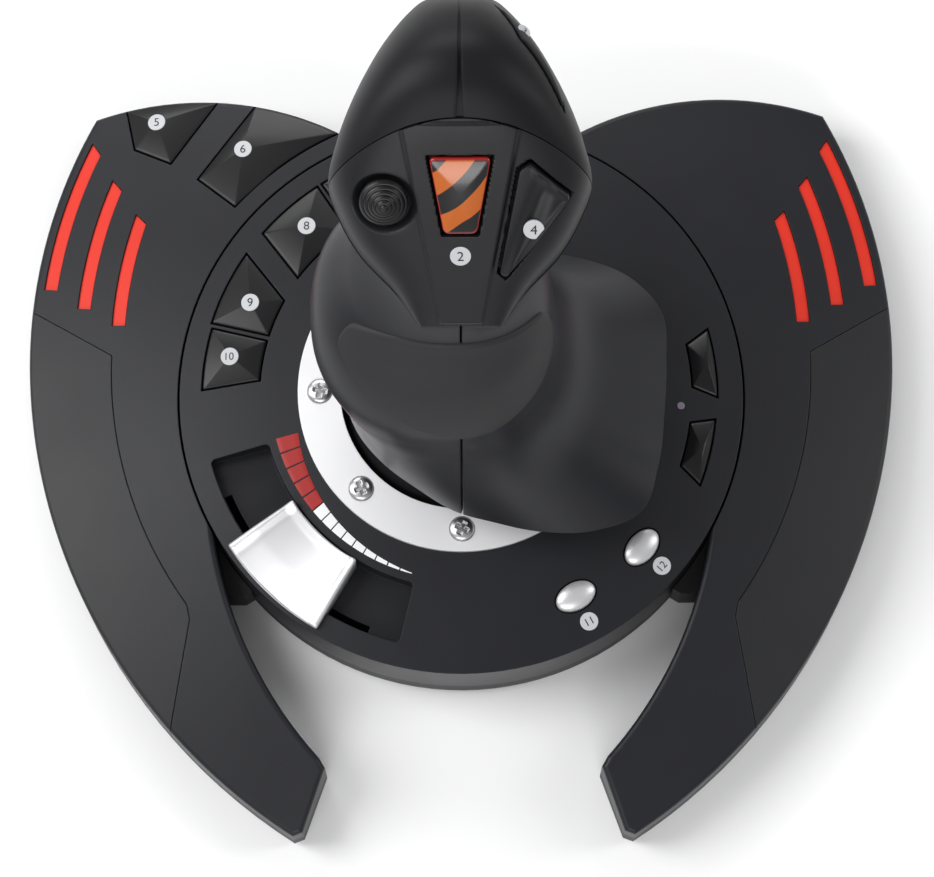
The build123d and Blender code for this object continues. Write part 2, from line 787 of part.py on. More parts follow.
def button_3_column(gap=0.0):
    """A slanted prism over the button's plan outline, along its press axis."""
    outline = make_face(Polyline(*BUTTON_3, close=True).edges())
    if gap:
        outline = grown(outline, gap)
    length = 60.0
    start = [-BUTTON_3_AXIS[0] * 12, -BUTTON_3_AXIS[1] * 12, 185 - BUTTON_3_AXIS[2] * 12]
    return extrude(Pos(*start) * outline, amount=length, dir=BUTTON_3_AXIS)


def face_plate():
    plate = (head_solid() - head_solid(FACE_T)) & face_region()
    plate = plate - face_prism(grown(outline_2(), HEAD_PLAY), -10, 10)
    plate = plate - face_prism(grown(outline_4(), HEAD_PLAY), -10, 12)
    return plate - face_prism(Pos(*HAT_PLACE) * Circle(HAT_WELL_R), -12, 12)


def head_shell(side):
    shell = (head_solid() - head_solid(WALL)) - face_region(SEAM)
    shell = shell - button_3_column(HEAD_PLAY)
    shell = shell - Pos(0, 8, 150) * Box(16, 20, 8)
    return shell & half_space(side)


def button_2():
    return face_prism(outline_2(), -4.5, 0.8)


def button_4():
    cap = face_prism(outline_4(), -7.2, 6.0)
    return cap & head_solid(-0.5)


def button_3():
    return (head_solid(-0.4) - head_solid(3.0)) & button_3_column()


def hat_cone(base_r, tip_r, low, high):
    return face_plane(*HAT_PLACE, out=(low + high) / 2) * Cone(base_r, tip_r, high - low)


def hat_post(radius, low, high):
    return face_prism(Pos(*HAT_PLACE) * Circle(radius), low, high)


def hat_cap():
    cap = hat_cone(5.0, 4.6, -1.6, 0.2)
    for step in range(4):
        cap = cap + hat_cone(4.4 - step, 3.9 - step, 0.2 + 0.55 * step, 0.75 + 0.55 * step)
    return cap + hat_post(1.4, -3.4, -1.6)


def hat_pivot():
    return hat_post(2.4, -5.6, -3.7)


def head_board():
    return face_prism(Pos(0, 24) * Rectangle(26, 30), -11.4, -9.8)


def head_switches():
    blocks = []
    for place in [(0, 30.2), (14.0, 24.0), (HAT_PLACE[0] + 3.0, HAT_PLACE[1])]:
        blocks.append(face_prism(Pos(*place) * Rectangle(5.0, 5.0), -9.8, -8.6 if place[0] > 3 else -6.4))
    return Compound(children=blocks)


# ---- trigger ----
def across(face, x0, x1):
    """A side-view face in (y, z), given thickness from x0 to x1."""
    return extrude(Plane(origin=(x0, 0, 0), x_dir=(0, 1, 0), z_dir=(1, 0, 0)) * face, amount=x1 - x0)


def trigger():
    side = closed(
        Line((22.0, 149.6), (29.0, 149.6)),
        ThreePointArc((29.0, 149.6), (31.2, 134.0), (37.0, 119.0)),
        ThreePointArc((37.0, 119.0), (35.0, 116.2), (32.0, 117.6)),
        ThreePointArc((32.0, 117.6), (25.0, 131.0), (22.0, 149.6)),
    )
    body = across(side, -TRIGGER_HALF, TRIGGER_HALF)
    body = body - across(Pos(*TRIGGER_PIN) * Circle(SHANK_R + FIT), -9, 9)
    notch = Pos(5.0, 26.0, 146.5) * Box(3.4, 12.0, 7.4)
    return body - notch


def trigger_pin():
    return across(Pos(*TRIGGER_PIN) * Circle(SHANK_R), -10.4, 10.4)


def trigger_spring():
    spring = coil(2.3, 0.35, 0.0, 2.4, 3)
    return Pos(3.8, TRIGGER_PIN[0], TRIGGER_PIN[1]) * Rot(0, 90, 0) * spring


def main():
    wing = wing_cover()
    left_wing = mirrored(wing)
    for face in WING_BUTTONS.values():
        left_wing = left_wing - prism(grown(face, PLAY), WING_CAP_Z - 1.6, 50)
    panel = side_panel()
    stripes = stripe_inserts()
    export("bottom_cover", bottom_cover())
    export("dais_cover", dais_cover())
    export("wing_cover_right", wing)
    export("wing_cover_left", left_wing)
    export("side_panel_right", panel)
    export("side_panel_left", mirrored(panel))
    export("stripe_inserts_right", stripes)
    export("stripe_inserts_left", mirrored(stripes))
    export("trim_ring", trim_ring())
    export("trim_screws", trim_screws())
    export("base_screws", base_screws())
    export("rubber_feet", rubber_feet())
    export("weight_plate", weight_plate())
    export("main_board", main_board())
    export("wing_board", wing_board())
    export("tact_switches", tact_switches())
    export("status_light", status_light())
    export("cable_inlet", cable_inlet())
    for name, face in DAIS_BUTTONS.items():
        export(name, button(face, middle(face), DAIS_CAP_Z, BOARD_Z + BOARD_T))
    for name, face in WING_BUTTONS.items():
        export(name, button(face, WING_STEMS[name], WING_CAP_Z, WING_BOARD_Z + BOARD_T))
    for name, place in OVAL_PLACES.items():
        export(name, button(oval_face(place), place, DAIS_CAP_Z, BOARD_Z + BOARD_T))
    export("throttle_lever", throttle_lever())
    export("throttle_carrier", throttle_carrier())
    export("throttle_sensor", throttle_sensor())
    export("gimbal_housing", gimbal_housing())
    export("gimbal_ring", gimbal_ring())
    export("pitch_pot", pitch_pot())
    export("roll_pot", roll_pot())
    export("spring_plate", spring_plate())
    export("centering_spring", coil(12.0, 0.8, CUP_TOP + 1.4 + 0.85, 36.0 - 0.85, 4))
    export("stick_shaft", stick_shaft())
    export("pivot_dome", pivot_dome())
    export("twist_spring", coil(7.4, 0.6, 75.0, 84.0, 5))
    export("twist_pot", prism(Circle(8.0), SHAFT_TOP, SHAFT_TOP + 5.5))
    grip = grip_body()
    export("handle_left", grip & half_space(-1))
    export("handle_right", grip & half_space(1))
    export("palm_pad", palm_pad())
    export("handle_screws", grip_screws())
    export("head_shell_left", head_shell(-1))
    export("head_shell_right", head_shell(1))
    export("face_plate", face_plate())
    export("button_2", button_2())
    export("button_3", button_3())
    export("button_4", button_4())
    export("hat_cap", hat_cap())
    export("hat_pivot", hat_pivot())
    export("head_board", head_board())
    export("head_switches", head_switches())
    export("trigger", trigger())
    export("trigger_pin", trigger_pin())
    export("trigger_spring", trigger_spring())


main()
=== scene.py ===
import math

import bpy
import numpy as np
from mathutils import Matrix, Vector


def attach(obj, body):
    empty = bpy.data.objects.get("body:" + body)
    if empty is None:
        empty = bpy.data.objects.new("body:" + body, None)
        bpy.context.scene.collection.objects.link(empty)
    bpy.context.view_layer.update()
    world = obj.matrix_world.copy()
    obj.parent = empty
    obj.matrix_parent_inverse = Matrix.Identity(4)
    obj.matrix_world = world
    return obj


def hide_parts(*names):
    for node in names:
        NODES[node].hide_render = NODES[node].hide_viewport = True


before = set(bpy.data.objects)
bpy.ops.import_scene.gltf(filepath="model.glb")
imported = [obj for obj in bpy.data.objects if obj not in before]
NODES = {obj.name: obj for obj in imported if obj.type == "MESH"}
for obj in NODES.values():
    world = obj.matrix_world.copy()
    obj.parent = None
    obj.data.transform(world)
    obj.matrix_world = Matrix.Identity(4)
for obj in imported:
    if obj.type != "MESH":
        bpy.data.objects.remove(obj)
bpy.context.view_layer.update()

# Flight joystick. Lengths in the tables are millimetres, and MM turns them into the frame's metres.
MM = 0.001

# ---- the base's sphere, and the joystick's driving sizes ----
DOME_R = 400.0
DOME_TOP = 31.0
LEVER_ANGLE = -134.05
RING_SCREW_R = 33.4
SCREW_HEAD_R = 2.85
DISC_R = 2.15


def dome(x, y):
    """Height of the base's top: a sphere of DOME_R whose highest point is DOME_TOP over the desk."""
    return DOME_TOP - DOME_R + np.sqrt(DOME_R**2 - x**2 - y**2)


def smoothstep(low, high, value):
    t = np.clip((value - low) / (high - low), 0.0, 1.0)
    return t * t * (3.0 - 2.0 * t)


def cubic(knots, values, at):
    """A smooth curve through the knots: cubic pieces whose slopes come from the neighbouring knots."""
    knots = np.asarray(knots, float)
    values = np.asarray(values, float)
    slopes = np.gradient(values, knots)
    at = np.clip(at, knots[0], knots[-1])
    cell = np.clip(np.searchsorted(knots, at, side="right") - 1, 0, len(knots) - 2)
    width = knots[cell + 1] - knots[cell]
    t = (at - knots[cell]) / width
    h00 = 2 * t**3 - 3 * t**2 + 1
    h10 = t**3 - 2 * t**2 + t
    h01 = -2 * t**3 + 3 * t**2
    h11 = t**3 - t**2
    return (
        h00 * values[cell]
        + h10 * width * slopes[cell]
        + h01 * values[cell + 1]
        + h11 * width * slopes[cell + 1]
    )


def power_sign(value, power):
    return np.sign(value) * np.abs(value) ** power


# ---- meshes from grids ----
def weld_object(name, points, faces, uv=None):
    mesh = bpy.data.meshes.new(name)
    mesh.from_pydata((np.asarray(points) * MM).tolist(), [], faces)
    mesh.validate()
    if uv is not None:
        layer = mesh.uv_layers.new(name="UVMap")
        index = np.zeros(len(mesh.loops), np.int64)
        mesh.loops.foreach_get("vertex_index", index)
        layer.data.foreach_set("uv", uv[index].astype(np.float32).ravel())
    mesh.polygons.foreach_set("use_smooth", [True] * len(mesh.polygons))
    obj = bpy.data.objects.new(name, mesh)
    bpy.context.scene.collection.objects.link(obj)
    return obj


def grid_faces(rows, columns, wrap=False, flip=False):
    """Quads over a grid of rows x columns points. wrap joins the last column to the first."""
    i = np.arange(rows - 1)[:, None]
    last = columns if wrap else columns - 1
    j = np.arange(last)[None, :]
    k = (j + 1) % columns
    this, following = i * columns, (i + 1) * columns
    quads = np.stack(np.broadcast_arrays(this + j, this + k, following + k, following + j), -1).reshape(-1, 4)
    return (quads[:, ::-1] if flip else quads).tolist()


def grid_object(name, grid, wrap=False, flip=False, uv=None, cap_last=False, cap_first=False):
    """A surface through a grid of points. A cap closes the first or last row with one point at its
    middle."""
    rows, columns = grid.shape[:2]
    points = grid.reshape(-1, 3)
    faces = grid_faces(rows, columns, wrap, flip)
    flat_uv = None if uv is None else uv.reshape(-1, 2)
    for row, wanted in ((rows - 1, cap_last), (0, cap_first)):
        if not wanted:
            continue
        hub = len(points)
        points = np.vstack([points, grid[row].mean(0)])
        if flat_uv is not None:
            flat_uv = np.vstack([flat_uv, uv[row].mean(0)])
        for j in range(columns if wrap else columns - 1):
            a, b = row * columns + j, row * columns + (j + 1) % columns
            forward = (row != 0) != flip
            faces.append([a, b, hub] if forward else [b, a, hub])
    return weld_object(name, points, faces, flat_uv)


def thicken(obj, depth, edge=0.25):
    """Gives a sheet a wall inwards, and a small round on its rims."""
    solid = obj.modifiers.new("wall", "SOLIDIFY")
    solid.thickness = depth * MM
    solid.offset = -1.0
    solid.use_even_offset = True
    bevel = obj.modifiers.new("rim", "BEVEL")
    bevel.width = edge * MM
    bevel.segments = 2
    bevel.limit_method = "ANGLE"
    bevel.angle_limit = math.radians(50)
    bevel.harden_normals = False
    return obj


def finish_piece(obj, material, slot, body, *nodes):
    obj.data.materials.clear()
    obj.data.materials.append(material)
    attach(obj, body)
    if nodes:
        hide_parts(*nodes)
    return obj


# ---- materials ----
class Wire:
    """A node socket that adds its Math nodes when it is used in an expression."""

    def __init__(self, shop, socket):
        self.shop = shop
        self.socket = socket

    def _pair(self, operation, first, second):
        return self.shop.add("ShaderNodeMath", {"operation": operation}, {0: first, 1: second}).out("Value")

    def __add__(self, other):
        return self._pair("ADD", self, other)

    def __radd__(self, other):
        return self._pair("ADD", other, self)

    def __sub__(self, other):
        return self._pair("SUBTRACT", self, other)

    def __rsub__(self, other):
        return self._pair("SUBTRACT", other, self)

    def __mul__(self, other):
        return self._pair("MULTIPLY", self, other)

    def __rmul__(self, other):
        return self._pair("MULTIPLY", other, self)


class Part:
    """A node in a material, with its outputs as Wires."""

    def __init__(self, shop, node):
        self.shop = shop
        self.node = node

    def out(self, name):
        return Wire(self.shop, self.node.outputs[name])

    def out_at(self, index):
        return Wire(self.shop, self.node.outputs[index])


class Finish:
    """A material being made."""

    def __init__(self, name):
        self.material = bpy.data.materials.new(name)
        self.material.use_nodes = True
        self.tree = self.material.node_tree
        self.tree.nodes.clear()
        self.shader = self.add("ShaderNodeBsdfPrincipled")
        self.add("ShaderNodeOutputMaterial", {}, {"Surface": self.shader.out("BSDF")})
        self.place = self.add("ShaderNodeTexCoord").out("Object")

    def add(self, kind, settings=None, values=None):
        node = self.tree.nodes.new(kind)
        part = Part(self, node)
        for key, value in (settings or {}).items():
            setattr(node, key, value)
        for key, value in (values or {}).items():
            self.feed(part, key, value)
        return part

    def feed(self, part, key, value):
        socket = part.node.inputs[key]
        if isinstance(value, Wire):
            self.tree.links.new(value.socket, socket)
        else:
            socket.default_value = value

    def set(self, **values):
        for key, value in values.items():
            self.feed(self.shader, key.replace("_", " "), value)

    def noise(self, scale, detail=3.0, rough=0.5):
        values = {"Vector": self.place, "Scale": scale, "Detail": detail, "Roughness": rough}
        return self.add("ShaderNodeTexNoise", {}, values).out("Fac")

    def mix(self, share, first, second):
        values = {"Factor": share, 6: first, 7: second}
        return self.add("ShaderNodeMix", {"data_type": "RGBA"}, values).out_at(2)

    def bump(self, height, strength, distance, normal=None):
        values = {"Height": height, "Strength": strength, "Distance": distance}
        if normal is not None:
            values["Normal"] = normal
        return self.add("ShaderNodeBump", {}, values).out("Normal")

    def rounded(self, radius):
        return self.add("ShaderNodeBevel", {"samples": 4}, {"Radius": radius * MM}).out("Normal")


def rgb(value, factor=1.0):
    return (value[0] * factor, value[1] * factor, value[2] * factor, 1.0)


def plastic(name, colour, rough, grain, grain_size, patch, edge=0.0, coat=0.0, spec=0.3):
    """Moulded plastic: a fine spark-eroded grain, faint cloudy patches of colour and gloss, and soft
    edges."""
    made = Finish(name)
    cloud = made.noise(60.0, 3.0)
    fine = made.noise(1.0 / (grain_size * MM), 2.0, 0.6)
    speck = made.noise(2.6 / (grain_size * MM), 1.0, 0.5)
    made.set(Base_Color=made.mix(cloud, rgb(colour, 1.0 - patch), rgb(colour, 1.0 + patch)))
    made.set(Roughness=cloud * 0.10 + fine * 0.06 + (rough - 0.08))
    made.feed(made.shader, "Specular IOR Level", spec)
    made.feed(made.shader, "Coat Weight", coat)
    made.feed(made.shader, "Coat Roughness", 0.12)
    normal = made.rounded(edge) if edge else None
    height = fine * 0.6 + speck * 0.4
    made.set(Normal=made.bump(height, grain, grain_size * 0.12 * MM, normal))
    return made.material


def metal_paint(name, colour, rough, metallic):
    """Silver paint: metal flake in a smooth clear layer."""
    made = Finish(name)
    flakes = made.noise(9000.0, 1.0)
    cloud = made.noise(45.0, 3.0)
    made.set(Base_Color=made.mix(cloud, rgb(colour, 0.95), rgb(colour, 1.03)))
    made.set(Metallic=metallic, Roughness=flakes * 0.10 + cloud * 0.06 + (rough - 0.08))
    made.feed(made.shader, "Coat Weight", 0.25)
    made.feed(made.shader, "Coat Roughness", 0.15)
    made.set(Normal=made.bump(flakes, 0.25, 0.01 * MM, made.rounded(0.25)))
    return made.material


def turned_steel(name, colour, rough):
    """Plated steel with fine scratches."""
    made = Finish(name)
    scratch = made.noise(5200.0, 2.0, 0.7)
    made.set(Base_Color=made.mix(scratch, rgb(colour, 0.85), rgb(colour, 1.08)))
    made.set(Metallic=1.0, Roughness=scratch * 0.14 + (rough - 0.06))
    made.set(Normal=made.bump(scratch, 0.2, 0.01 * MM, made.rounded(0.15)))
    return made.material


# the bands: how fast their phase grows per metre across and down, how much it wanders, and where it starts
BAND_ACROSS, BAND_DOWN = 560.0, 820.0
BAND_WANDER = 1.6
BAND_START = 1.0
# share of the way from the middle to the wall at which the red line fades in
RED_LINE = (0.66, 0.74)


def hazard_bands():
    """Glossy orange and black bands across the button on a slant, with a thin red line round its edge."""
    made = Finish("hazard_bands")
    apart = made.add("ShaderNodeSeparateXYZ", {}, {"Vector": made.place})
    slant = apart.out("X") * BAND_ACROSS - apart.out("Z") * BAND_DOWN
    wave = made.noise(90.0, 1.0) * BAND_WANDER
    phase = made.add("ShaderNodeMath", {"operation": "SINE"}, {0: slant + wave + BAND_START}).out("Value")
    sharp = {"Value": phase, "From Min": -0.06, "From Max": 0.06}
    share = made.add("ShaderNodeMapRange", {}, sharp).out("Result")
    colour = made.mix(share, (0.012, 0.012, 0.013, 1.0), (0.50, 0.115, 0.014, 1.0))
    along = made.add("ShaderNodeUVMap").out("UV")
    ring = made.add("ShaderNodeSeparateXYZ", {}, {"Vector": along}).out("X")
    line = {"Value": ring, "From Min": RED_LINE[0], "From Max": RED_LINE[1]}
    rim = made.add("ShaderNodeMapRange", {}, line).out("Result")
    made.set(Base_Color=made.mix(rim, colour, (0.30, 0.012, 0.010, 1.0)))
    made.set(Roughness=made.noise(400.0) * 0.05 + 0.22)
    made.feed(made.shader, "Coat Weight", 0.15)
    made.feed(made.shader, "Coat Roughness", 0.05)
    return made.material


# name, colour, roughness, strength and size in mm of the grain, cloudiness
BASE_PLASTIC = plastic("base_black", (0.0110, 0.0114, 0.0150), 0.40, 0.30, 0.22, 0.10, edge=0.35)
PANEL_PLASTIC = plastic("panel_black", (0.0150, 0.0152, 0.0170), 0.42, 0.45, 0.26, 0.10, edge=0.35)
UNDER_PLASTIC = plastic("under_black", (0.012, 0.012, 0.013), 0.50, 0.5, 0.35, 0.10, edge=0.3)
GRIP_PLASTIC = plastic("grip_black", (0.0110, 0.0114, 0.0150), 0.36, 0.22, 0.20, 0.08)
# painted shade: the head is the same black plastic as the grip, but its colour is set darker to stand for the
# shade on the head
HEAD_PLASTIC_SHADED = plastic("head_black_painted_shade", (0.0060, 0.0061, 0.0075), 0.46, 0.40, 0.22, 0.08, spec=0.2)
FACE_PLASTIC = plastic("face_black", (0.0080, 0.0082, 0.0100), 0.42, 0.35, 0.22, 0.08)
PAD_RUBBER = plastic("pad_rubber", (0.0200, 0.0202, 0.0220), 0.54, 0.55, 0.24, 0.08)
BUTTON_PLASTIC = plastic("button_black", (0.0060, 0.0060, 0.0070), 0.34, 0.10, 0.20, 0.10, coat=0.08)
BOOT_PLASTIC = plastic("boot_black", (0.010, 0.010, 0.011), 0.40, 0.2, 0.3, 0.10)
RED_PLASTIC = plastic("stripe_red", (0.68, 0.030, 0.014), 0.40, 0.25, 0.24, 0.05, edge=0.2)
DISC_WHITE = plastic("disc_white", (0.52, 0.53, 0.55), 0.35, 0.1, 0.2, 0.02)
INK_DARK = plastic("ink_dark", (0.02, 0.02, 0.022), 0.5, 0.1, 0.2, 0.02)
INK_WHITE = plastic("ink_white", (0.80, 0.80, 0.81), 0.45, 0.1, 0.2, 0.02)
INK_RED = plastic("ink_red", (0.34, 0.022, 0.020), 0.45, 0.1, 0.2, 0.05)
RUBBER = plastic("foot_rubber", (0.016, 0.016, 0.016), 0.75, 0.7, 0.5, 0.12)
BOARD = plastic("solder_mask", (0.02, 0.12, 0.05), 0.35, 0.2, 0.6, 0.15)
SWITCH = plastic("switch_body", (0.02, 0.02, 0.02), 0.45, 0.3, 0.3, 0.1)
ACETAL = plastic("acetal", (0.16, 0.16, 0.165), 0.45, 0.3, 0.3, 0.08, edge=0.3)
LIGHT = plastic("light_pipe", (0.20, 0.17, 0.22), 0.15, 0.05, 0.3, 0.05)
SILVER_SATIN = metal_paint("silver_satin", (0.80, 0.80, 0.82), 0.42, 0.35)
SILVER_PAINT = metal_paint("silver_paint", (0.70, 0.70, 0.72), 0.36, 0.60)
HAZARD = hazard_bands()
SCREW_STEEL = turned_steel("screw_steel", (0.62, 0.62, 0.63), 0.30)
SPRING_STEEL = turned_steel("spring_steel", (0.45, 0.45, 0.46), 0.35)
CAST_WEIGHT = turned_steel("weight_steel", (0.22, 0.22, 0.23), 0.55)

# ---- CAD nodes that stay, with their finishes ----
KEPT = {
    "bottom_cover": UNDER_PLASTIC,
    "dais_cover": BASE_PLASTIC,
    "wing_cover_left": BASE_PLASTIC,
    "wing_cover_right": BASE_PLASTIC,
    "side_panel_left": PANEL_PLASTIC,
    "side_panel_right": PANEL_PLASTIC,
    "stripe_inserts_left": RED_PLASTIC,
    "stripe_inserts_right": RED_PLASTIC,
    "base_screws": SCREW_STEEL,
    "rubber_feet": RUBBER,
    "weight_plate": CAST_WEIGHT,
    "main_board": BOARD,
    "wing_board": BOARD,
    "head_board": BOARD,
    "throttle_sensor": BOARD,
    "tact_switches": SWITCH,
    "head_switches": SWITCH,
    "pitch_pot": SWITCH,
    "roll_pot": SWITCH,
    "twist_pot": SWITCH,
    "status_light": LIGHT,
    "cable_inlet": RUBBER,
    "gimbal_housing": ACETAL,
    "gimbal_ring": ACETAL,
    "spring_plate": ACETAL,
    "stick_shaft": ACETAL,
    "hat_pivot": ACETAL,
    "throttle_carrier": ACETAL,
    "centering_spring": SPRING_STEEL,
    "twist_spring": SPRING_STEEL,
    "trigger_spring": SPRING_STEEL,
    "trigger_pin": SCREW_STEEL,
    "handle_screws": SCREW_STEEL,
    "pivot_dome": BOOT_PLASTIC,
    "trigger": BUTTON_PLASTIC,
    "trim_ring": SILVER_SATIN,
}


def finish_cad_nodes():
    for name, material in KEPT.items():
        mesh = NODES[name].data
        if not mesh.materials:
            mesh.materials.append(material)
        for index in range(len(mesh.materials)):
            mesh.materials[index] = material


# ---- head ----
# station: y, half width, top z, bottom z, flatness of the top
HEAD_STATIONS = np.array([
    (-16.8, 8.4, 157.0, 153.5, 3.2),
    (-10.0, 13.4, 163.6, 151.6, 3.6),
    (-3.0, 20.4, 170.3, 151.0, 3.8),
    (4.0, 24.8, 177.0, 151.0, 3.6),
    (10.0, 27.0, 182.6, 151.0, 3.0),
    (17.0, 25.6, 188.8, 151.4, 2.6),
    (24.0, 23.0, 193.2, 152.2, 2.3),
    (31.0, 19.6, 194.0, 153.6, 2.2),
    (38.0, 15.6, 190.6, 156.0, 2.2),
    (44.0, 11.2, 184.6, 159.4, 2.3),
    (47.6, 8.0, 178.6, 163.0, 2.6),
])
WIDE_SHARE = 0.45
UNDER_POWER = 2.6
HEAD_FOOT_Y, HEAD_NOSE_Y = HEAD_STATIONS[0, 0], HEAD_STATIONS[-1, 0]
FACE_FOOT = np.array([0.0, -16.8, 157.0])
FACE_SLOPE = math.atan2(189.4 - 157.0, 17.7 + 16.8)
FACE_UP = np.array([0.0, math.cos(FACE_SLOPE), math.sin(FACE_SLOPE)])
FACE_OUT = np.array([0.0, -math.sin(FACE_SLOPE), math.cos(FACE_SLOPE)])
SEAM_MID_Y = 17.7
SEAM_DROP = 8.2 / 27.0**2


def head_station(y):
    """Half width, top, bottom and flatness at a place along the head."""
    return [cubic(HEAD_STATIONS[:, 0], HEAD_STATIONS[:, column], y) for column in range(1, 5)]


def head_at(y, turn, shrink=0.0, scale=1.0):
    """The head's outer form. Across each station it is a flattened ellipse whose upper half has its own
    flatness, and its width, top and bottom are smooth curves along y. turn runs from +X over the
    top."""
    half, top, low, flat = head_station(y)
    wide_z = low + WIDE_SHARE * (top - low)
    c, s = np.cos(turn), np.sin(turn)
    power = np.where(s > 0, 2.0 / flat, 2.0 / UNDER_POWER)
    height = np.where(s > 0, top - wide_z, wide_z - low) - shrink
    x = (half - shrink) * scale * power_sign(c, power)
    z = wide_z + height * scale * power_sign(s, power)
    return np.stack(np.broadcast_arrays(x, y, z), -1)


def seam_y(turn):
    """Where the seam crosses the line of one turn angle: y falls with the square of the distance from
    the middle."""
    y = np.full_like(turn, 14.0)
    for _ in range(30):
        x = head_at(y, turn)[..., 0]
        y = 0.5 * y + 0.5 * (SEAM_MID_Y - SEAM_DROP * x**2)
    return y


def face_frame(points):
    """Across and along the face, from its lower edge."""
    offset = points - FACE_FOOT
    return points[..., 0], offset @ FACE_UP


def convex_distance(x, y, corners):
    """Distance to a convex outline that runs anticlockwise, less than zero inside."""
    best = np.full(np.shape(x), -1e9)
    for (ax, ay), (bx, by) in zip(corners, corners[1:] + corners[:1]):
        length = math.hypot(bx - ax, by - ay)
        outward = ((x - ax) * (by - ay) - (y - ay) * (bx - ax)) / length
        best = np.maximum(best, outward)
    return best


PANEL_CORNERS = [(-4.3, 0.6), (4.3, 0.6), (12.1, 46.2), (-12.1, 46.2)]
BUTTON_2 = [(-3.4, 21.6), (3.4, 21.6), (6.3, 38.9), (-6.3, 38.9)]
BUTTON_4 = [(8.0, 12.4), (9.3, 11.0), (22.4, 29.0), (14.2, 37.2), (12.0, 35.8)]
HAT_X, HAT_ALONG = -15.4, 28.0
HAT_WELL_R = 6.4
PANEL_RISE = 0.7
HAT_WELL, BUTTON_2_WELL, BUTTON_4_WELL = 2.6, 2.4, 2.6
JOINT_HALF = 0.12
NOSE_ROUND, NOSE_DRAW = 1.6, 0.16
BUTTON_3_WELL = 2.5
BUTTON_3 = [(9.6, 43.5), (13.4, 39.6), (22.6, 24.8), (22.6, 22.6), (10.4, 33.6)]
BUTTON_3_WAY = np.array([0.60, 0.35, 0.72])
BUTTON_3_AXIS = BUTTON_3_WAY / np.linalg.norm(BUTTON_3_WAY)
BUTTON_3_Z = 185.0


def face_relief(x, along):
    """Height of the face's details over its plain form: the raised middle panel, the hat's round well,
    and the two button wells."""
    panel = PANEL_RISE * smoothstep(0.35, -0.35, convex_distance(x, along, PANEL_CORNERS))
    hat_gap = np.hypot(x - HAT_X, along - HAT_ALONG)
    well = -HAT_WELL * smoothstep(HAT_WELL_R + 0.6, HAT_WELL_R - 1.2, hat_gap)
    two = -BUTTON_2_WELL * smoothstep(0.55, 0.25, convex_distance(x, along, BUTTON_2))
    four = -BUTTON_4_WELL * smoothstep(0.55, 0.25, convex_distance(x, along, BUTTON_4))
    return panel + well + two + four


def grid_normals(grid):
    """Unit normals of a grid surface from the differences between its neighbours."""
    across = np.gradient(grid, axis=1)
    down = np.gradient(grid, axis=0)
    normal = np.cross(across, down)
    return normal / np.maximum(np.linalg.norm(normal, axis=-1, keepdims=True), 1e-9)


def face_plate():
    """The sloping face: the head's form from its lower edge to the seam, pushed out along its normal by
    the relief."""
    side = np.cos(np.linspace(0.02, math.pi - 0.02, 241))
    turn = np.arccos(np.clip(power_sign(side, 1.55), -0.9995, 0.9995))
    end = seam_y(turn) - JOINT_HALF
    share = np.linspace(0.0, 1.0, 190)[:, None]
    y = HEAD_FOOT_Y + share * (end[None, :] - HEAD_FOOT_Y)
    plain = head_at(y, np.broadcast_to(turn, y.shape))
    normal = grid_normals(plain)
    normal *= np.sign((normal @ FACE_OUT).mean())
    x, along = face_frame(plain)
    raised = plain + normal * face_relief(x, along)[..., None]
    obj = grid_object("face_plate_skin", raised)
    fix_outward(obj, FACE_OUT)
    return finish_piece(thicken(obj, 2.0, 0.3), FACE_PLASTIC, "face_plastic", "grip", "face_plate")


def fix_outward(obj, direction):
    """Turns the faces over if most of them look against the direction."""
    mesh = obj.data
    normals = np.zeros(len(mesh.polygons) * 3)
    mesh.polygons.foreach_get("normal", normals)
    if (normals.reshape(-1, 3) @ np.asarray(direction)).mean() < 0:
        mesh.flip_normals()


def head_shell(side):
    """One half of the head behind the seam. Its turn runs from the gap on top round the side to the gap
    below; rows run from the seam to the nose, where the section closes on itself."""
    name = "right" if side > 0 else "left"
    round_it = np.linspace(0.0, 1.0, 161)
    turn = math.pi / 2 - side * (0.012 + round_it * (math.pi - 0.024))
    start = seam_y(turn) + JOINT_HALF
    below = np.sin(turn) < -0.02
    start = np.where(below, HEAD_FOOT_Y + 0.3, start)
    share = np.linspace(0.0, 1.0, 150)[:, None]
    y = start[None, :] + share * (HEAD_NOSE_Y - NOSE_ROUND - start[None, :])
    body = head_at(y, np.broadcast_to(turn, y.shape))
    bend = np.linspace(0.0, 1.0, 10)[1:, None] * math.pi / 2
    nose_y = HEAD_NOSE_Y - NOSE_ROUND + NOSE_ROUND * np.sin(bend)
    nose_y, nose_turn = np.broadcast_arrays(nose_y, turn[None, :])
    nose = head_at(nose_y, nose_turn, scale=1 - NOSE_DRAW * (1 - np.cos(bend)))
    inner = nose[-1:].copy()
    centre = inner.mean(1, keepdims=True)
    centre[..., 0] = side * 0.1
    closing = [centre + (inner - centre) * (1 - step) for step in (0.3, 0.6, 0.85, 0.99)]
    grid = np.concatenate([body, nose] + closing)
    if side > 0:
        plan_x, plan_y = side_plan(grid)
        upper = smoothstep(168, 172, grid[..., 2])
        gap = convex_distance(plan_x, plan_y, BUTTON_3[::-1])
        sink = BUTTON_3_WELL * upper * smoothstep(0.55, 0.15, gap)
        grid = grid - sink[..., None] * BUTTON_3_AXIS
    obj = grid_object("head_shell_%s_skin" % name, grid, flip=side < 0)
    fix_outward(obj, (side * 0.8, 0.2, 0.5))
    return finish_piece(thicken(obj, 2.0, 0.3), HEAD_PLASTIC_SHADED, "grip_plastic", "grip", "head_shell_" + name)


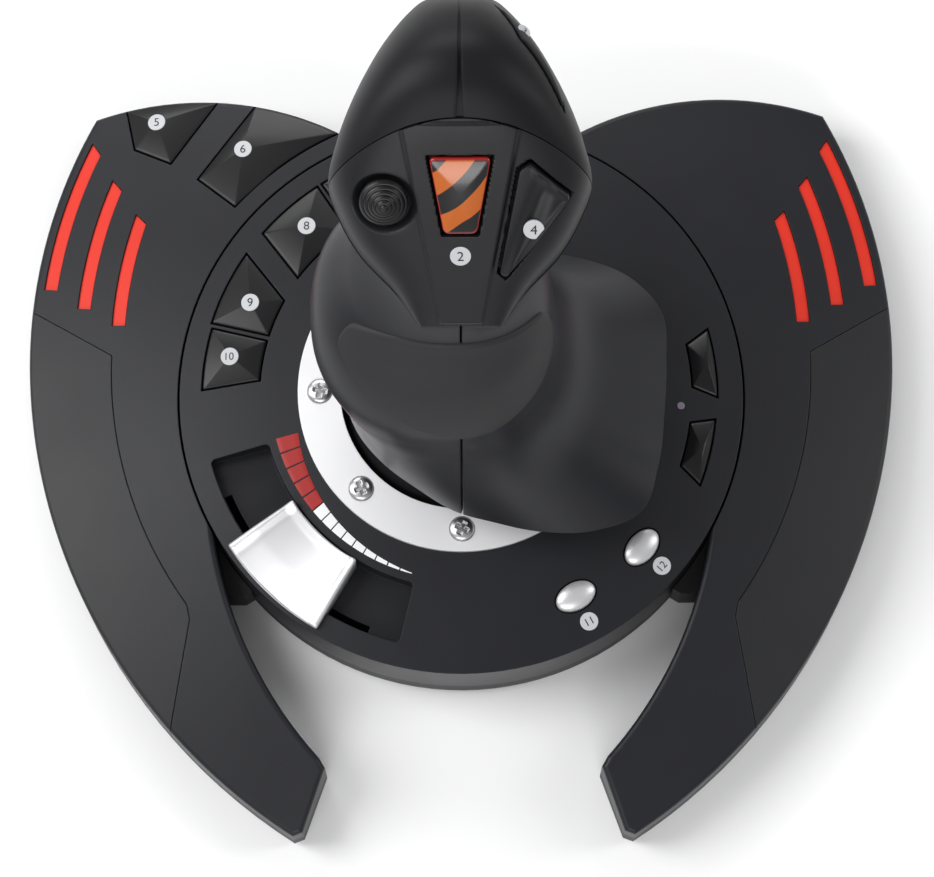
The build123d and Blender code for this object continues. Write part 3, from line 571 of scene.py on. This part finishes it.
# ---- grip ----
# level: height, centre x and y, half widths in x and y
GRIP_LEVELS = np.array([
    (44.0, 0.0, -2.5, 27.5, 28.5),
    (52.0, -0.8, -2.3, 26.0, 27.6),
    (62.0, -2.2, -2.0, 24.2, 26.6),
    (74.0, -3.4, -1.4, 24.4, 26.2),
    (86.0, -5.0, -0.6, 26.0, 26.2),
    (97.0, -6.2, 0.8, 27.0, 26.0),
    (107.0, -6.0, 4.0, 25.6, 24.0),
    (117.0, -4.0, 7.4, 20.6, 19.0),
    (128.0, -1.4, 8.2, 15.2, 16.6),
    (140.0, 0.0, 8.2, 12.8, 15.8),
    (150.6, 0.0, 8.0, 12.4, 15.6),
])
# skirt: turn in degrees, radius; the bulge to the right is the hand rest
SKIRT = np.array([
    (-92, 32.3), (-77, 36.0), (-63, 42.0), (-50, 48.6), (-39, 53.0), (-26, 50.8), (-12, 48.3),
    (3, 48.0), (17, 49.2), (29, 46.4), (43, 40.6), (60, 34.0), (80, 28.0), (103, 26.0),
    (130, 26.2), (155, 27.0), (180, 27.5), (205, 27.4), (230, 27.3), (250, 28.6),
])
FLARE_TOP = 95.0
FLARE_POWER = 2.6
SKIRT_TILT = 0.07
GRIP_N = 2.25
HALF_GAP = 0.17
GRIP_FOOT, GRIP_TOP = 44.0, 150.4


def skirt_radius(degrees):
    knots = np.concatenate([SKIRT[:, 0] - 360, SKIRT[:, 0], SKIRT[:, 0] + 360])
    return cubic(knots, np.tile(SKIRT[:, 1], 3), degrees)


def grip_at(z, degrees, rise=0.0):
    """The grip's outer form: a flattened ellipse at each height, blended by a falling power of the
    height into the skirt's own outline, which holds the hand rest. The lower edge rises to the
    right."""
    turn = np.radians(degrees)
    cx, cy, hx, hy = [cubic(GRIP_LEVELS[:, 0], GRIP_LEVELS[:, column], z) for column in range(1, 5)]
    x = cx + (hx + rise) * power_sign(np.cos(turn), 2 / GRIP_N)
    y = cy + (hy + rise) * power_sign(np.sin(turn), 2 / GRIP_N)
    share = np.clip((FLARE_TOP - z) / (FLARE_TOP - GRIP_LEVELS[0, 0]), 0, 1)
    flare = share**FLARE_POWER
    radius = skirt_radius(degrees) + rise
    x = x + flare * (radius * np.cos(turn) - x)
    y = y + flare * (radius * np.sin(turn) - y)
    return np.stack(np.broadcast_arrays(x, y, z + SKIRT_TILT * share * x), -1)


def seam_degrees(z, x, low, high):
    """The turn at which the grip's surface crosses the plane of one x, between two turns, by halving
    the interval."""
    low = np.full_like(z, low)
    high = np.full_like(z, high)
    rising = grip_at(z, high)[..., 0] > grip_at(z, low)[..., 0]
    for _ in range(26):
        middle = (low + high) / 2
        beyond = (grip_at(z, middle)[..., 0] > x) == rising
        high = np.where(beyond, middle, high)
        low = np.where(beyond, low, middle)
    return (low + high) / 2


def handle(side):
    """One half of the grip. Rows climb it; columns run round it, from the joint in front to the joint
    behind."""
    name = "right" if side > 0 else "left"
    z = GRIP_FOOT + (GRIP_TOP - GRIP_FOOT) * np.linspace(0, 1, 200) ** 1.15
    front = seam_degrees(z, HALF_GAP * side, -130.0, -40.0)
    back = seam_degrees(z, HALF_GAP * side, 40.0, 130.0)
    if side < 0:
        back = back - 360.0
    share = np.linspace(0, 1, 181)[None, :]
    degrees = front[:, None] + share * (back - front)[:, None]
    body = grip_at(z[:, None], degrees)
    obj = grid_object("handle_%s_skin" % name, body, flip=side < 0)
    fix_outward(obj, (side, 0, 0))
    return finish_piece(thicken(obj, 2.2, 0.6), GRIP_PLASTIC, "grip_plastic", "grip", "handle_" + name)


# the pad's outline on the grip: turn in degrees, height
PAD_OUTLINE = [
    (-143.7, 115.2), (-148.8, 113.0), (-146.9, 110.3), (-135.9, 108.6), (-120.0, 105.6), (-102.8, 100.2),
    (-91.1, 96.1), (-79.4, 93.2), (-65.9, 92.5), (-51.5, 94.2), (-33.1, 96.5), (-17.5, 99.9), (-12.1, 105.4),
    (-16.2, 110.7), (-26.7, 113.4), (-49.7, 116.0), (-83.0, 118.2), (-116.1, 118.2),
]
PAD_RISE = 0.8
PAD_SINK = 0.8
PAD_FLAT = 0.9
PAD_MIDDLE_Z = 107.0
PAD_MIDDLE_ENDS = (-128.0, -32.0)


def loop_through(points, count):
    """Points on a smooth closed curve through the given ones."""
    points = np.array(points, float)
    around = np.vstack([points[-3:], points, points[:4]])
    knots = np.arange(len(around)) - 3.0
    at = np.arange(count) / count * len(points)
    return np.stack([cubic(knots, around[:, column], at) for column in range(2)], -1)


def palm_pad():
    """The crescent pad: rings from its middle line out to the outline, on the grip's own surface,
    raised with a round edge and closed underneath."""
    outline = loop_through(PAD_OUTLINE, 260)
    middle_turn = np.clip(outline[:, 0], *PAD_MIDDLE_ENDS)
    middle = np.stack([middle_turn, np.full_like(middle_turn, PAD_MIDDLE_Z)], -1)
    rings = np.concatenate([np.linspace(0, PAD_FLAT, 24), np.linspace(0.915, 1.0, 12)])
    drop = np.clip((rings - PAD_FLAT) / (1 - PAD_FLAT), 0, 1)
    rise = PAD_RISE * np.sqrt(1 - drop**2) - 0.25 * (drop >= 1)
    rings = np.concatenate([rings, [0.995, 0.5, 0.0]])
    rise = np.concatenate([rise, [-PAD_SINK] * 3])
    plan = middle[None] + rings[:, None, None] * (outline - middle)[None]
    grid = grip_at(plan[..., 1], plan[..., 0], rise[:, None])
    obj = grid_object("palm_pad_skin", grid, wrap=True)
    fix_outward(obj, (0, -0.3, 0.7))
    return finish_piece(obj, PAD_RUBBER, "pad_rubber", "grip", "palm_pad")


# ---- capped shapes: buttons, lever, ovals, discs ----
def rounded_outline(points, radius):
    """A closed outline resampled evenly, then each point moved to the mean of its neighbours within the
    radius."""
    points = np.array(points, float)
    following = np.roll(points, -1, axis=0)
    reach = np.concatenate([[0], np.cumsum(np.linalg.norm(following - points, axis=1))])
    closed_points = np.vstack([points, points[:1]])
    count = int(max(96, min(320, reach[-1] / 0.25)))
    at = np.arange(count) / count * reach[-1]
    even = np.stack([np.interp(at, reach, closed_points[:, k]) for k in range(2)], -1)
    half = max(1, int(radius / (reach[-1] / count)))
    shifted = [np.roll(even, step, axis=0) for step in range(-half, half + 1)]
    return np.mean(shifted, axis=0)


def arc(radius, start, end, count=40):
    turn = np.radians(np.linspace(start, end, count))
    return np.stack([radius * np.cos(turn), radius * np.sin(turn)], -1)


def sector(r_in, r_out, inner, outer):
    return np.vstack([arc(r_out, outer[0], outer[1]), arc(r_in, inner[1], inner[0])])


def capped(name, outline, centre, top, bottom, edge=0.5, lift=None, uv=False):
    """A closed cap over an outline. Rings shrink from the outline to the centre; the height comes from
    top(x, y, share), less a quarter-round of the edge's radius, and the wall drops to bottom(x, y).
    lift turns (x, y, height) into a place, where the cap isn't in the base's own axes."""
    centre = np.asarray(centre, float)
    reach = np.linalg.norm(outline - centre, axis=1).mean()
    bend = np.linspace(0, 1, 7) * math.pi / 2
    inner_share = 1 - edge / reach
    level_shares = np.linspace(0.02, inner_share, 22)[:-1]
    shares = np.concatenate([level_shares, inner_share + (edge / reach) * np.sin(bend)])
    drops = np.concatenate([np.zeros(len(level_shares)), edge * (1 - np.cos(bend))])
    plan = centre + shares[:, None, None] * (outline - centre)[None]
    x, y = plan[..., 0], plan[..., 1]
    height = top(x, y, np.broadcast_to(shares[:, None], x.shape)) - drops[:, None]
    under_shares = np.array([1.0, 0.96, 0.5, 0.02])
    under = centre + under_shares[:, None, None] * (outline - centre)[None]
    low = bottom(under[..., 0], under[..., 1])
    x = np.concatenate([x, under[..., 0]])
    y = np.concatenate([y, under[..., 1]])
    height = np.concatenate([height, np.broadcast_to(low, under.shape[:2])])
    place = np.stack([x, y, height], -1) if lift is None else lift(x, y, height)
    rows = len(place)
    ring_uv = np.zeros((*x.shape, 2))
    ring_uv[..., 0] = np.linspace(0, 1, rows)[:, None]
    obj = grid_object(name, place, wrap=True, uv=ring_uv if uv else None, cap_first=True, cap_last=True)
    volume_out(obj)
    return obj


def level(value):
    """The same height everywhere, as a top or a bottom for capped()."""
    return lambda x, *others: np.full_like(x, value)


def volume_out(obj):
    """Turns a closed mesh's faces outwards if its volume, summed over its faces, comes out negative."""
    mesh = obj.data
    mesh.calc_loop_triangles()
    corners = np.zeros(len(mesh.loop_triangles) * 3, np.int64)
    mesh.loop_triangles.foreach_get("vertices", corners)
    points = np.zeros(len(mesh.vertices) * 3)
    mesh.vertices.foreach_get("co", points)
    triangle = points.reshape(-1, 3)[corners.reshape(-1, 3)]
    if np.einsum("ij,ij->i", triangle[:, 0], np.cross(triangle[:, 1], triangle[:, 2])).sum() < 0:
        mesh.flip_normals()


# ---- base buttons ----
def circle_through(a, b, c):
    """Centre and radius of the circle through three points."""
    rows = 2 * np.array([np.subtract(b, a), np.subtract(c, a)])
    sides = np.array([np.dot(b, b) - np.dot(a, a), np.dot(c, c) - np.dot(a, a)])
    centre = np.linalg.solve(rows, sides)
    return centre, np.hypot(*(centre - a))


REAR_CENTRE, REAR_R = circle_through((-24.0, 62.6), (-62.0, 75.6), (-88.8, 72.6))
REAR_INSET = 0.4


def on_rear_edge(start, end):
    """The angle at which the line from start to end crosses the wing's back edge."""
    start, end = np.array(start, float), np.array(end, float)
    share = np.linspace(0, 1, 4001)[:, None]
    line = start + share * (end - start)
    gap = np.abs(np.hypot(*(line - REAR_CENTRE).T) - (REAR_R - REAR_INSET))
    x, y = line[np.argmin(gap)] - REAR_CENTRE
    return math.degrees(math.atan2(y, x))


def rear_arc(start, end):
    return REAR_CENTRE + arc(REAR_R - REAR_INSET, start, end)


def rear_outer():
    """Button 5's outline: two straight sides and a straight front, and the wing's back edge behind."""
    front = [(-78.9, 63.7), (-70.1, 59.5)]
    left = on_rear_edge(front[0], (-81.9, 78.0))
    right = on_rear_edge(front[1], (-57.6, 77.0))
    return np.vstack([rear_arc(right, left), front])


def rear_inner():
    """Button 6's outline: as button 5's, but with an arc round the dais on its right."""
    front = [(-63.2, 54.9), (-54.2, 47.4)]
    inner = arc(71.9, 130.5, 114.5)
    right = on_rear_edge(inner[-1], (-30.5, 80.0))
    left = on_rear_edge(front[0], (-47.6, 76.0))
    return np.vstack([front, inner[6:], rear_arc(right, left)])


# outline, the crest's place, crest and edge heights over the dome, bottom
CAPS = {
    "button_5": (rear_outer(), (-73.7, 70.4), 1.0, 0.1, 15.4),
    "button_6": (rear_inner(), (-52.4, 62.0), 1.1, 0.1, 15.4),
    "button_7": (sector(48.3, 62.0, (102.4, 122.0), (106.3, 122.4)), (-20.7, 51.3), 1.0, 0.1, 21.8),
    "button_8": (sector(48.3, 62.0, (124.0, 143.6), (123.6, 139.7)), (-36.8, 41.4), 1.0, 0.1, 21.8),
    "button_9": (sector(48.0, 62.0, (151.5, 162.5), (145.7, 163.1)), (-50.2, 22.5), 1.0, 0.1, 21.8),
    "button_10": (sector(48.0, 61.5, (164.3, 175.9), (164.4, 178.5)), (-55.0, 9.3), 0.95, 0.1, 21.8),
    "preset_button": (sector(55.0, 60.8, (1.5, 12.3), (-0.8, 14.9)), (58.4, 7.2), 1.5, 0.1, 21.8),
    "mapping_button": (sector(54.8, 60.5, (-18.9, -7.7), (-21.5, -6.1)), (56.9, -14.0), 1.5, 0.1, 21.8),
}
FLAT_SHARE = 0.13


def base_cap(node, outline, crest, high, low, bottom):
    """A faceted cap: flat under its number, then falling evenly to every edge, so that a ridge runs to
    each corner."""

    def top(x, y, share):
        fall = np.clip((share - FLAT_SHARE) / (1 - FLAT_SHARE), 0, 1)
        return dome(x, y) + high + (low - high) * fall**1.4

    outline = rounded_outline(outline, 0.5)
    obj = capped(node + "_cap", outline, crest, top, level(bottom), 0.45)
    return finish_piece(obj, BUTTON_PLASTIC, "button_plastic", node, node)


OVALS = {"button_11": (26.6, -49.0), "button_12": (42.3, -37.3)}
OVAL_DISCS = {"11": (29.7, -54.8), "12": (47.0, -41.6)}
OVAL_LONG, OVAL_SHORT = 5.0, 3.2


def oval(node, place):
    """A silver oval: an ellipse whose long axis runs round the base, domed like half an ellipsoid."""
    turn = np.linspace(0, 2 * math.pi, 160, endpoint=False)
    along = np.array([-place[1], place[0]]) / math.hypot(*place)
    out = np.array(place) / math.hypot(*place)
    ellipse = OVAL_LONG * np.cos(turn)[:, None] * along + OVAL_SHORT * np.sin(turn)[:, None] * out
    outline = np.array(place) + ellipse

    def top(x, y, share):
        return dome(x, y) + 0.25 + 1.5 * np.sqrt(np.clip(1 - share**2, 0, 1))

    obj = capped(node + "_cap", outline, place, top, level(21.8), 0.3)
    return finish_piece(obj, SILVER_PAINT, "silver_gloss", node, node)


# ---- throttle ----
LEVER_HALF = 12.75
LEVER_IN, LEVER_MIDDLE, LEVER_OUT = 47.6, 56.6, 66.0


def throttle_lever():
    """The lever: a block between two radii, saddle-shaped, with its two ends raised to crests and its
    outer lip hanging over the base's shoulder."""
    span = (LEVER_ANGLE - LEVER_HALF, LEVER_ANGLE + LEVER_HALF)
    outline = rounded_outline(sector(LEVER_IN, LEVER_OUT, span, span), 0.7)

    def top(x, y, share):
        radius = np.hypot(x, y)
        swing = (np.degrees(np.arctan2(y, x)) - LEVER_ANGLE) / LEVER_HALF
        crest = np.exp(-(((np.abs(swing) - 0.93) / 0.10) ** 2))
        inner = smoothstep(50.5, 47.6, radius)
        outer = smoothstep(58, 66, radius)
        return dome(x, y) + 0.9 + swing**2 + 0.75 * crest + 0.5 * inner - 0.5 * outer

    def bottom(x, y):
        return np.where(np.hypot(x, y) > 61.4, dome(x, y) + 0.35, 22.9)

    centre = arc(LEVER_MIDDLE, LEVER_ANGLE, LEVER_ANGLE, 1)[0]
    obj = capped("throttle_lever_cap", outline, centre, top, bottom, 0.7)
    return finish_piece(obj, SILVER_PAINT, "silver_gloss", "throttle", "throttle_lever")


SCALE_OUT = 45.2
RED_SPAN = (-166.2, -141.0)
WHITE_SPAN = (-141.0, -105.0)


def scale_blocks(name, span, count, radii, material, slot):
    """Printed blocks round the inner side of the throttle's slot, each a thin patch on the base's
    sphere, whose inner radius goes evenly from the first to the second value along the scale."""
    points, faces = [], []
    for number in range(count):
        shares = (number + np.linspace(0, 1, 9)) / count
        shares = np.clip(shares, (number + 0.05) / count, (number + 0.95) / count)
        turn = np.radians(span[0] + shares * (span[1] - span[0]))
        inner = radii[0] + shares * (radii[1] - radii[0])
        radius = inner[:, None] + (SCALE_OUT - inner)[:, None] * np.linspace(0, 1, 5)[None, :]
        x, y = radius * np.cos(turn)[:, None], radius * np.sin(turn)[:, None]
        start = len(points) * x.size
        points.append(np.stack([x, y, dome(x, y) + 0.07], -1).reshape(-1, 3))
        faces += [[a + start for a in quad] for quad in grid_faces(*x.shape)]
    obj = weld_object(name, np.concatenate(points), faces)
    fix_outward(obj, (0, 0, 1))
    return finish_piece(thicken(obj, 0.06, 0.0001), material, slot, "base")


# ---- number discs ----
DISC_RISE, NUMERAL_RISE, DISC_SINK = 0.12, 0.16, 0.5


def numeral(name, text, size, frame_at, body):
    """A numeral as a flat mesh, centred and carried to its place by frame_at(x, y, height)."""
    curve = bpy.data.curves.new(name, "FONT")
    curve.body = text
    curve.size = size
    curve.align_x = "CENTER"
    curve.align_y = "CENTER"
    source = bpy.data.objects.new(name + "_source", curve)
    bpy.context.scene.collection.objects.link(source)
    bpy.context.view_layer.update()
    mesh = bpy.data.meshes.new_from_object(source.evaluated_get(bpy.context.evaluated_depsgraph_get()))
    bpy.data.objects.remove(source)
    points = np.zeros(len(mesh.vertices) * 3)
    mesh.vertices.foreach_get("co", points)
    points = points.reshape(-1, 3)
    points[:, :2] -= (points[:, :2].min(0) + points[:, :2].max(0)) / 2
    placed = frame_at(points[:, 0], points[:, 1], np.full(len(points), NUMERAL_RISE))
    mesh.vertices.foreach_set("co", (placed * MM).ravel())
    obj = bpy.data.objects.new(name, mesh)
    mesh.name = name
    bpy.context.scene.collection.objects.link(obj)
    return finish_piece(obj, INK_DARK, "button_plastic", body)


def number_disc(label, text, origin, across, up, body, radius=DISC_R):
    """A white disc with a numeral on it: a flat round plate with a small round edge."""
    origin, across, up = (np.asarray(v, float) for v in (origin, across, up))
    out = np.cross(across, up)

    def frame_at(x, y, height):
        return origin + x[..., None] * across + y[..., None] * up + height[..., None] * out

    turn = np.linspace(0, 2 * math.pi, 96, endpoint=False)
    outline = radius * np.stack([np.cos(turn), np.sin(turn)], -1)
    disc = capped(
        "number_disc_" + label, outline, (0, 0), level(DISC_RISE),
        level(-DISC_SINK), 0.1, frame_at,
    )
    finish_piece(disc, DISC_WHITE, "silver_satin", body)
    size = (1.4 if len(text) == 1 else 1.2) * radius
    numeral("numeral_" + label, text, size, frame_at, body)


def dome_axes(place, degrees):
    """Across and up at a place on the dome, with across turned by some degrees about the vertical."""
    normal = np.array([place[0], place[1], DOME_R])
    normal /= np.linalg.norm(normal)
    turn = math.radians(degrees)
    across = np.array([math.cos(turn), math.sin(turn), 0.0])
    across -= normal * (across @ normal)
    across /= np.linalg.norm(across)
    return across, np.cross(normal, across)


def base_discs():
    for text in ("5", "6", "7", "8", "9", "10"):
        node = "button_" + text
        crest, high = CAPS[node][1], CAPS[node][2]
        number_disc(text, text, (*crest, float(dome(*crest)) + high), *dome_axes(crest, 0.0), node)
    for text, place in OVAL_DISCS.items():
        degrees = math.degrees(math.atan2(-place[0], place[1])) + 180.0
        number_disc(text, text, (*place, float(dome(*place))), *dome_axes(place, degrees), "base")


# ---- screws in the ring ----
SCREW_SEAT_Z, SCREW_RIM_Z = 30.27, 30.9
SCREW_CROWN = 0.95


def ring_screws():
    """Pan-head screws: a low dome with a rounded rim, and a cross recess whose two arms are smooth
    troughs."""
    turn = np.linspace(0, 2 * math.pi, 73)[:-1]
    shares = np.concatenate([np.linspace(0.0, 0.8, 24), np.sin(np.linspace(0.93, math.pi / 2, 10))])
    radius = SCREW_HEAD_R * shares[:, None]
    u, v = radius * np.cos(turn), radius * np.sin(turn)
    crown = SCREW_CROWN * np.sqrt(np.clip(1 - (radius / (SCREW_HEAD_R * 1.003)) ** 2, 0, 1)) ** 0.8
    narrow = [smoothstep(0.62, 0.34, np.abs(way)) for way in (u, v)]
    long = [smoothstep(1.75, 1.35, np.abs(way)) for way in (v, u)]
    arms = np.maximum(narrow[0] * long[0], narrow[1] * long[1])
    height = SCREW_RIM_Z + crown - SCREW_CROWN * arms
    points, faces = [], []
    for number in range(8):
        at = math.radians(45 * number)
        lean = math.radians(20 + 37 * number)
        x = RING_SCREW_R * math.cos(at) + u * math.cos(lean) - v * math.sin(lean)
        y = RING_SCREW_R * math.sin(at) + u * math.sin(lean) + v * math.cos(lean)
        grid = np.stack([x, y, height], -1)
        wall = grid[-1:].copy()
        wall[..., 2] = SCREW_SEAT_Z
        centre = np.array([RING_SCREW_R * math.cos(at), RING_SCREW_R * math.sin(at), SCREW_SEAT_Z])
        floor = centre + 0.02 * (wall - centre)
        whole = np.concatenate([grid, wall, floor]).reshape(-1, 3)
        start = sum(len(p) for p in points)
        points.append(whole)
        faces += [[a + start for a in quad] for quad in grid_faces(len(shares) + 2, 72, wrap=True)]
    obj = weld_object("ring_screw_heads", np.concatenate(points), faces)
    volume_out(obj)
    return finish_piece(obj, SCREW_STEEL, "steel", "base", "trim_screws")


# ---- head buttons and hat ----
def head_inside(points):
    """How far out a point lies in its station: under 1 inside the head, over 1 outside."""
    y = np.clip(points[..., 1], HEAD_FOOT_Y, HEAD_NOSE_Y)
    half, top, low, flat = head_station(y)
    wide_z = low + WIDE_SHARE * (top - low)
    above = points[..., 2] > wide_z
    power = np.where(above, flat, UNDER_POWER)
    height = np.where(above, top - wide_z, wide_z - low)
    return (np.abs(points[..., 0]) / half) ** power + (np.abs(points[..., 2] - wide_z) / height) ** power


def reach_head(start, direction, near=-14.0, far=14.0):
    """How far along a direction each start point meets the head's surface, by halving the interval."""
    low = np.full(start.shape[:-1], near)
    high = np.full(start.shape[:-1], far)
    for _ in range(24):
        middle = (low + high) / 2
        outside = head_inside(start + middle[..., None] * direction) > 1
        high = np.where(outside, middle, high)
        low = np.where(outside, low, middle)
    return (low + high) / 2


def on_face(x, along, height=0.0):
    """A point over the sloping face: across, along, and out from the head's own surface."""
    start = FACE_FOOT + np.stack([x, along * FACE_UP[1], along * FACE_UP[2]], -1)
    return start + (reach_head(start, FACE_OUT) + height)[..., None] * FACE_OUT


def face_button_2():
    """The banded button: a trapezium with rounded corners, domed along and across."""
    outline = rounded_outline(BUTTON_2, 1.3)

    def top(x, y, share):
        return PANEL_RISE + 0.15 + 0.75 * np.clip(1 - share**2.2, 0, 1)

    obj = capped("button_2_cap", outline, (0, 31.0), top, level(-0.45), 0.5, on_face, uv=True)
    return finish_piece(obj, HAZARD, "hazard_gloss", "button_2", "button_2")


def face_button_4():
    """The long side button: a flat blade on its inner side, then a hollow, then a raised outer rim."""
    outline = rounded_outline(BUTTON_4, 1.0)
    low, high = np.array(BUTTON_4[0]), np.array(BUTTON_4[4])
    along_blade = (high - low) / np.linalg.norm(high - low)

    def top(x, y, share):
        across = (x - low[0]) * along_blade[1] - (y - low[1]) * along_blade[0]
        climb = np.clip((y - 11.0) / 26.0, 0, 1)
        hollow = np.exp(-(((across - (2.2 + 4.2 * climb)) / 1.9) ** 2))
        rim = np.exp(-(((share - 0.95) / 0.13) ** 2)) * smoothstep(2.0, 4.0, across)
        return 1.25 - 1.0 * hollow * smoothstep(1.0, 0.72, climb) + 0.5 * rim

    obj = capped("button_4_cap", outline, (14.4, 25.5), top, level(-1.2), 0.4, on_face)
    return finish_piece(obj, FACE_PLASTIC, "button_plastic", "button_4", "button_4")




def on_side(x, y, height):
    start = np.stack([x, y, np.full_like(x, BUTTON_3_Z)], -1)
    return start + (reach_head(start, BUTTON_3_AXIS, -30.0, 30.0) + height)[..., None] * BUTTON_3_AXIS


def side_plan(points):
    """The plan place of a point carried along the side button's axis to its reference height."""
    back = (points[..., 2] - BUTTON_3_Z) / BUTTON_3_AXIS[2]
    return points[..., 0] - back * BUTTON_3_AXIS[0], points[..., 1] - back * BUTTON_3_AXIS[1]


def side_button():
    outline = rounded_outline(BUTTON_3, 0.6)

    def top(x, y, share):
        return 0.35 + 0.35 * np.clip(1 - share**2, 0, 1)

    obj = capped("button_3_cap", outline, (15.6, 33.2), top, level(-1.2), 0.4, on_side)
    finish_piece(obj, HEAD_PLASTIC_SHADED, "button_plastic", "button_3", "button_3")
    origin = on_side(np.array(13.0), np.array(37.2), np.array(0.66))
    across = on_side(np.array(14.0), np.array(36.6), np.array(0.66)) - origin
    across /= np.linalg.norm(across)
    normal = BUTTON_3_AXIS - across * (BUTTON_3_AXIS @ across)
    normal /= np.linalg.norm(normal)
    number_disc("3", "3", origin, across, np.cross(normal, across), "button_3", 1.5)


HAT_RINGS = 6
HAT_R = 5.1
HAT_CONE, HAT_RIM = 3.0, 0.5


def hat():
    """The hat: a low cone turned about the face's normal, with a rounded step at each of its rings."""
    turn = np.linspace(0, 2 * math.pi, 121)[:-1]
    radius = np.concatenate([np.linspace(0.02, HAT_R, 120), [HAT_R, HAT_R * 0.98, 1.2, 0.02]])
    ring = radius / HAT_R * HAT_RINGS
    step = ring - np.floor(ring)
    ridges = 0.16 * np.sin(math.pi * np.clip(step, 0, 1)) - 0.35 * (step > 0.9)
    height = HAT_CONE * (1 - radius / HAT_R) + ridges - HAT_RIM
    height[-4:] = (-1.0, -1.2, -1.3, -1.3)
    x = HAT_X + radius[:, None] * np.cos(turn)
    along = HAT_ALONG + radius[:, None] * np.sin(turn)
    out = np.broadcast_to(height[:, None], x.shape)
    level = reach_head(FACE_FOOT + HAT_ALONG * FACE_UP + np.array([HAT_X, 0, 0]), FACE_OUT)
    start = FACE_FOOT + np.stack([x, along * FACE_UP[1], along * FACE_UP[2]], -1)
    grid = start + (level + out)[..., None] * FACE_OUT
    obj = grid_object("hat_cap_rings", grid, wrap=True, cap_first=True, cap_last=True)
    volume_out(obj)
    return finish_piece(obj, BUTTON_PLASTIC, "button_plastic", "hat_cap", "hat_cap")


# the outline of a cheek in side view: y, z
CHEEK = [(12.0, 149.6), (30.4, 149.6), (30.8, 143.0), (27.0, 140.8), (12.0, 135.0)]
CHEEK_IN, CHEEK_T = 7.3, 4.3


def trigger_cheek(side):
    """One of the two lugs of the grip that hold the trigger's pin: a rounded outline in side view, 4.3
    mm thick."""
    outline = rounded_outline(CHEEK, 1.6)

    def lift(x, y, height):
        return np.stack([side * (CHEEK_IN + height), x, y], -1)

    name = "trigger_cheek_right" if side > 0 else "trigger_cheek_left"
    obj = capped(
        name, outline, (22.0, 144.5), level(CHEEK_T),
        level(0.0), 1.2, lift,
    )
    return finish_piece(obj, GRIP_PLASTIC, "grip_plastic", "grip")


def face_discs():
    for text, place, body in (("2", (0.0, 16.6, 0.7), "grip"), ("4", (14.9, 22.5, 1.0), "button_4")):
        origin = on_face(*(np.array(value) for value in place))
        number_disc(text, text, origin, (1, 0, 0), FACE_UP, body)


def joint_tongue():
    """The rib inside the joint between the head's two shells, which closes the gap seen from above."""
    y = np.linspace(16.0, HEAD_NOSE_Y - 1.0, 60)[:, None]
    turn = math.pi / 2 + np.linspace(-0.11, 0.11, 9)[None, :]
    obj = grid_object("head_joint_rib", head_at(y, turn, shrink=1.1))
    fix_outward(obj, (0, 0, 1))
    finish_piece(thicken(obj, 0.6, 0.0001), HEAD_PLASTIC_SHADED, "grip_plastic", "grip")


# ---- camera, floor and light ----
WORLD_STRENGTH = 0.36
FLOOR_HALF = 3000.0
EYE = (0.0, -0.2288, 0.9769)
AIM = (0.0013, -0.0096, 0.0217)
LENS = 158.6
LIGHT_AIM = (0.0, 0.0, 0.05)
# name, place in metres, size, power
LIGHTS = [
    ("left_key", (-1.15, 0.15, 1.25), (0.8, 1.3), 19.0),
    ("back_soft", (-0.25, 1.35, 0.95), (1.3, 0.5), 11.0),
    ("right_soft", (1.35, 0.15, 0.95), (0.5, 1.0), 6.0),
    ("front_soft", (-0.2, -1.35, 1.15), (1.2, 0.5), 11.5),
]


def stage():
    x, y = np.meshgrid([-FLOOR_HALF, FLOOR_HALF], [-FLOOR_HALF, FLOOR_HALF])
    floor = grid_object("floor", np.stack([x, y, np.zeros_like(x)], -1))
    fix_outward(floor, (0, 0, 1))
    made = Finish("floor_white")
    made.set(Base_Color=(0.90, 0.90, 0.905, 1.0), Roughness=0.6)
    floor.data.materials.append(made.material)
    scene = bpy.context.scene
    scene.view_settings.view_transform = "Standard"
    scene.world = bpy.data.worlds.new("studio")
    scene.world.use_nodes = True
    studio = scene.world.node_tree.nodes["Background"]
    studio.inputs["Color"].default_value = (1.0, 1.0, 1.0, 1.0)
    studio.inputs["Strength"].default_value = WORLD_STRENGTH
    for name, place, size, power in LIGHTS:
        area_light(name, place, size, power)


def area_light(name, place, size, power):
    data = bpy.data.lights.new(name, "AREA")
    data.shape = "RECTANGLE"
    data.size, data.size_y = size
    data.energy = power
    lamp = bpy.data.objects.new(name, data)
    lamp.location = place
    lamp.rotation_euler = (Vector(LIGHT_AIM) - Vector(place)).to_track_quat("-Z", "Y").to_euler()
    bpy.context.scene.collection.objects.link(lamp)


def camera():
    data = bpy.data.cameras.new("camera")
    eye = bpy.data.objects.new("camera", data)
    eye.location = EYE
    eye.rotation_euler = (Vector(AIM) - Vector(EYE)).to_track_quat("-Z", "Y").to_euler()
    data.sensor_width = 36.0
    data.lens = LENS
    bpy.context.scene.collection.objects.link(eye)
    bpy.context.scene.camera = eye


camera()
stage()
finish_cad_nodes()
face_plate()
head_shell(-1)
head_shell(1)
joint_tongue()
for side in (-1, 1):
    handle(side)
for side in (-1, 1):
    trigger_cheek(side)
palm_pad()
for node, made_of in CAPS.items():
    base_cap(node, *made_of)
for node, place in OVALS.items():
    oval(node, place)
throttle_lever()
scale_blocks("throttle_scale_red", RED_SPAN, 5, (39.8, 42.0), INK_RED, "red_plastic")
scale_blocks("throttle_scale_white", WHITE_SPAN, 9, (42.0, 45.05), INK_WHITE, "silver_satin")
base_discs()
ring_screws()
face_button_2()
face_button_4()
side_button()
hat()
face_discs()
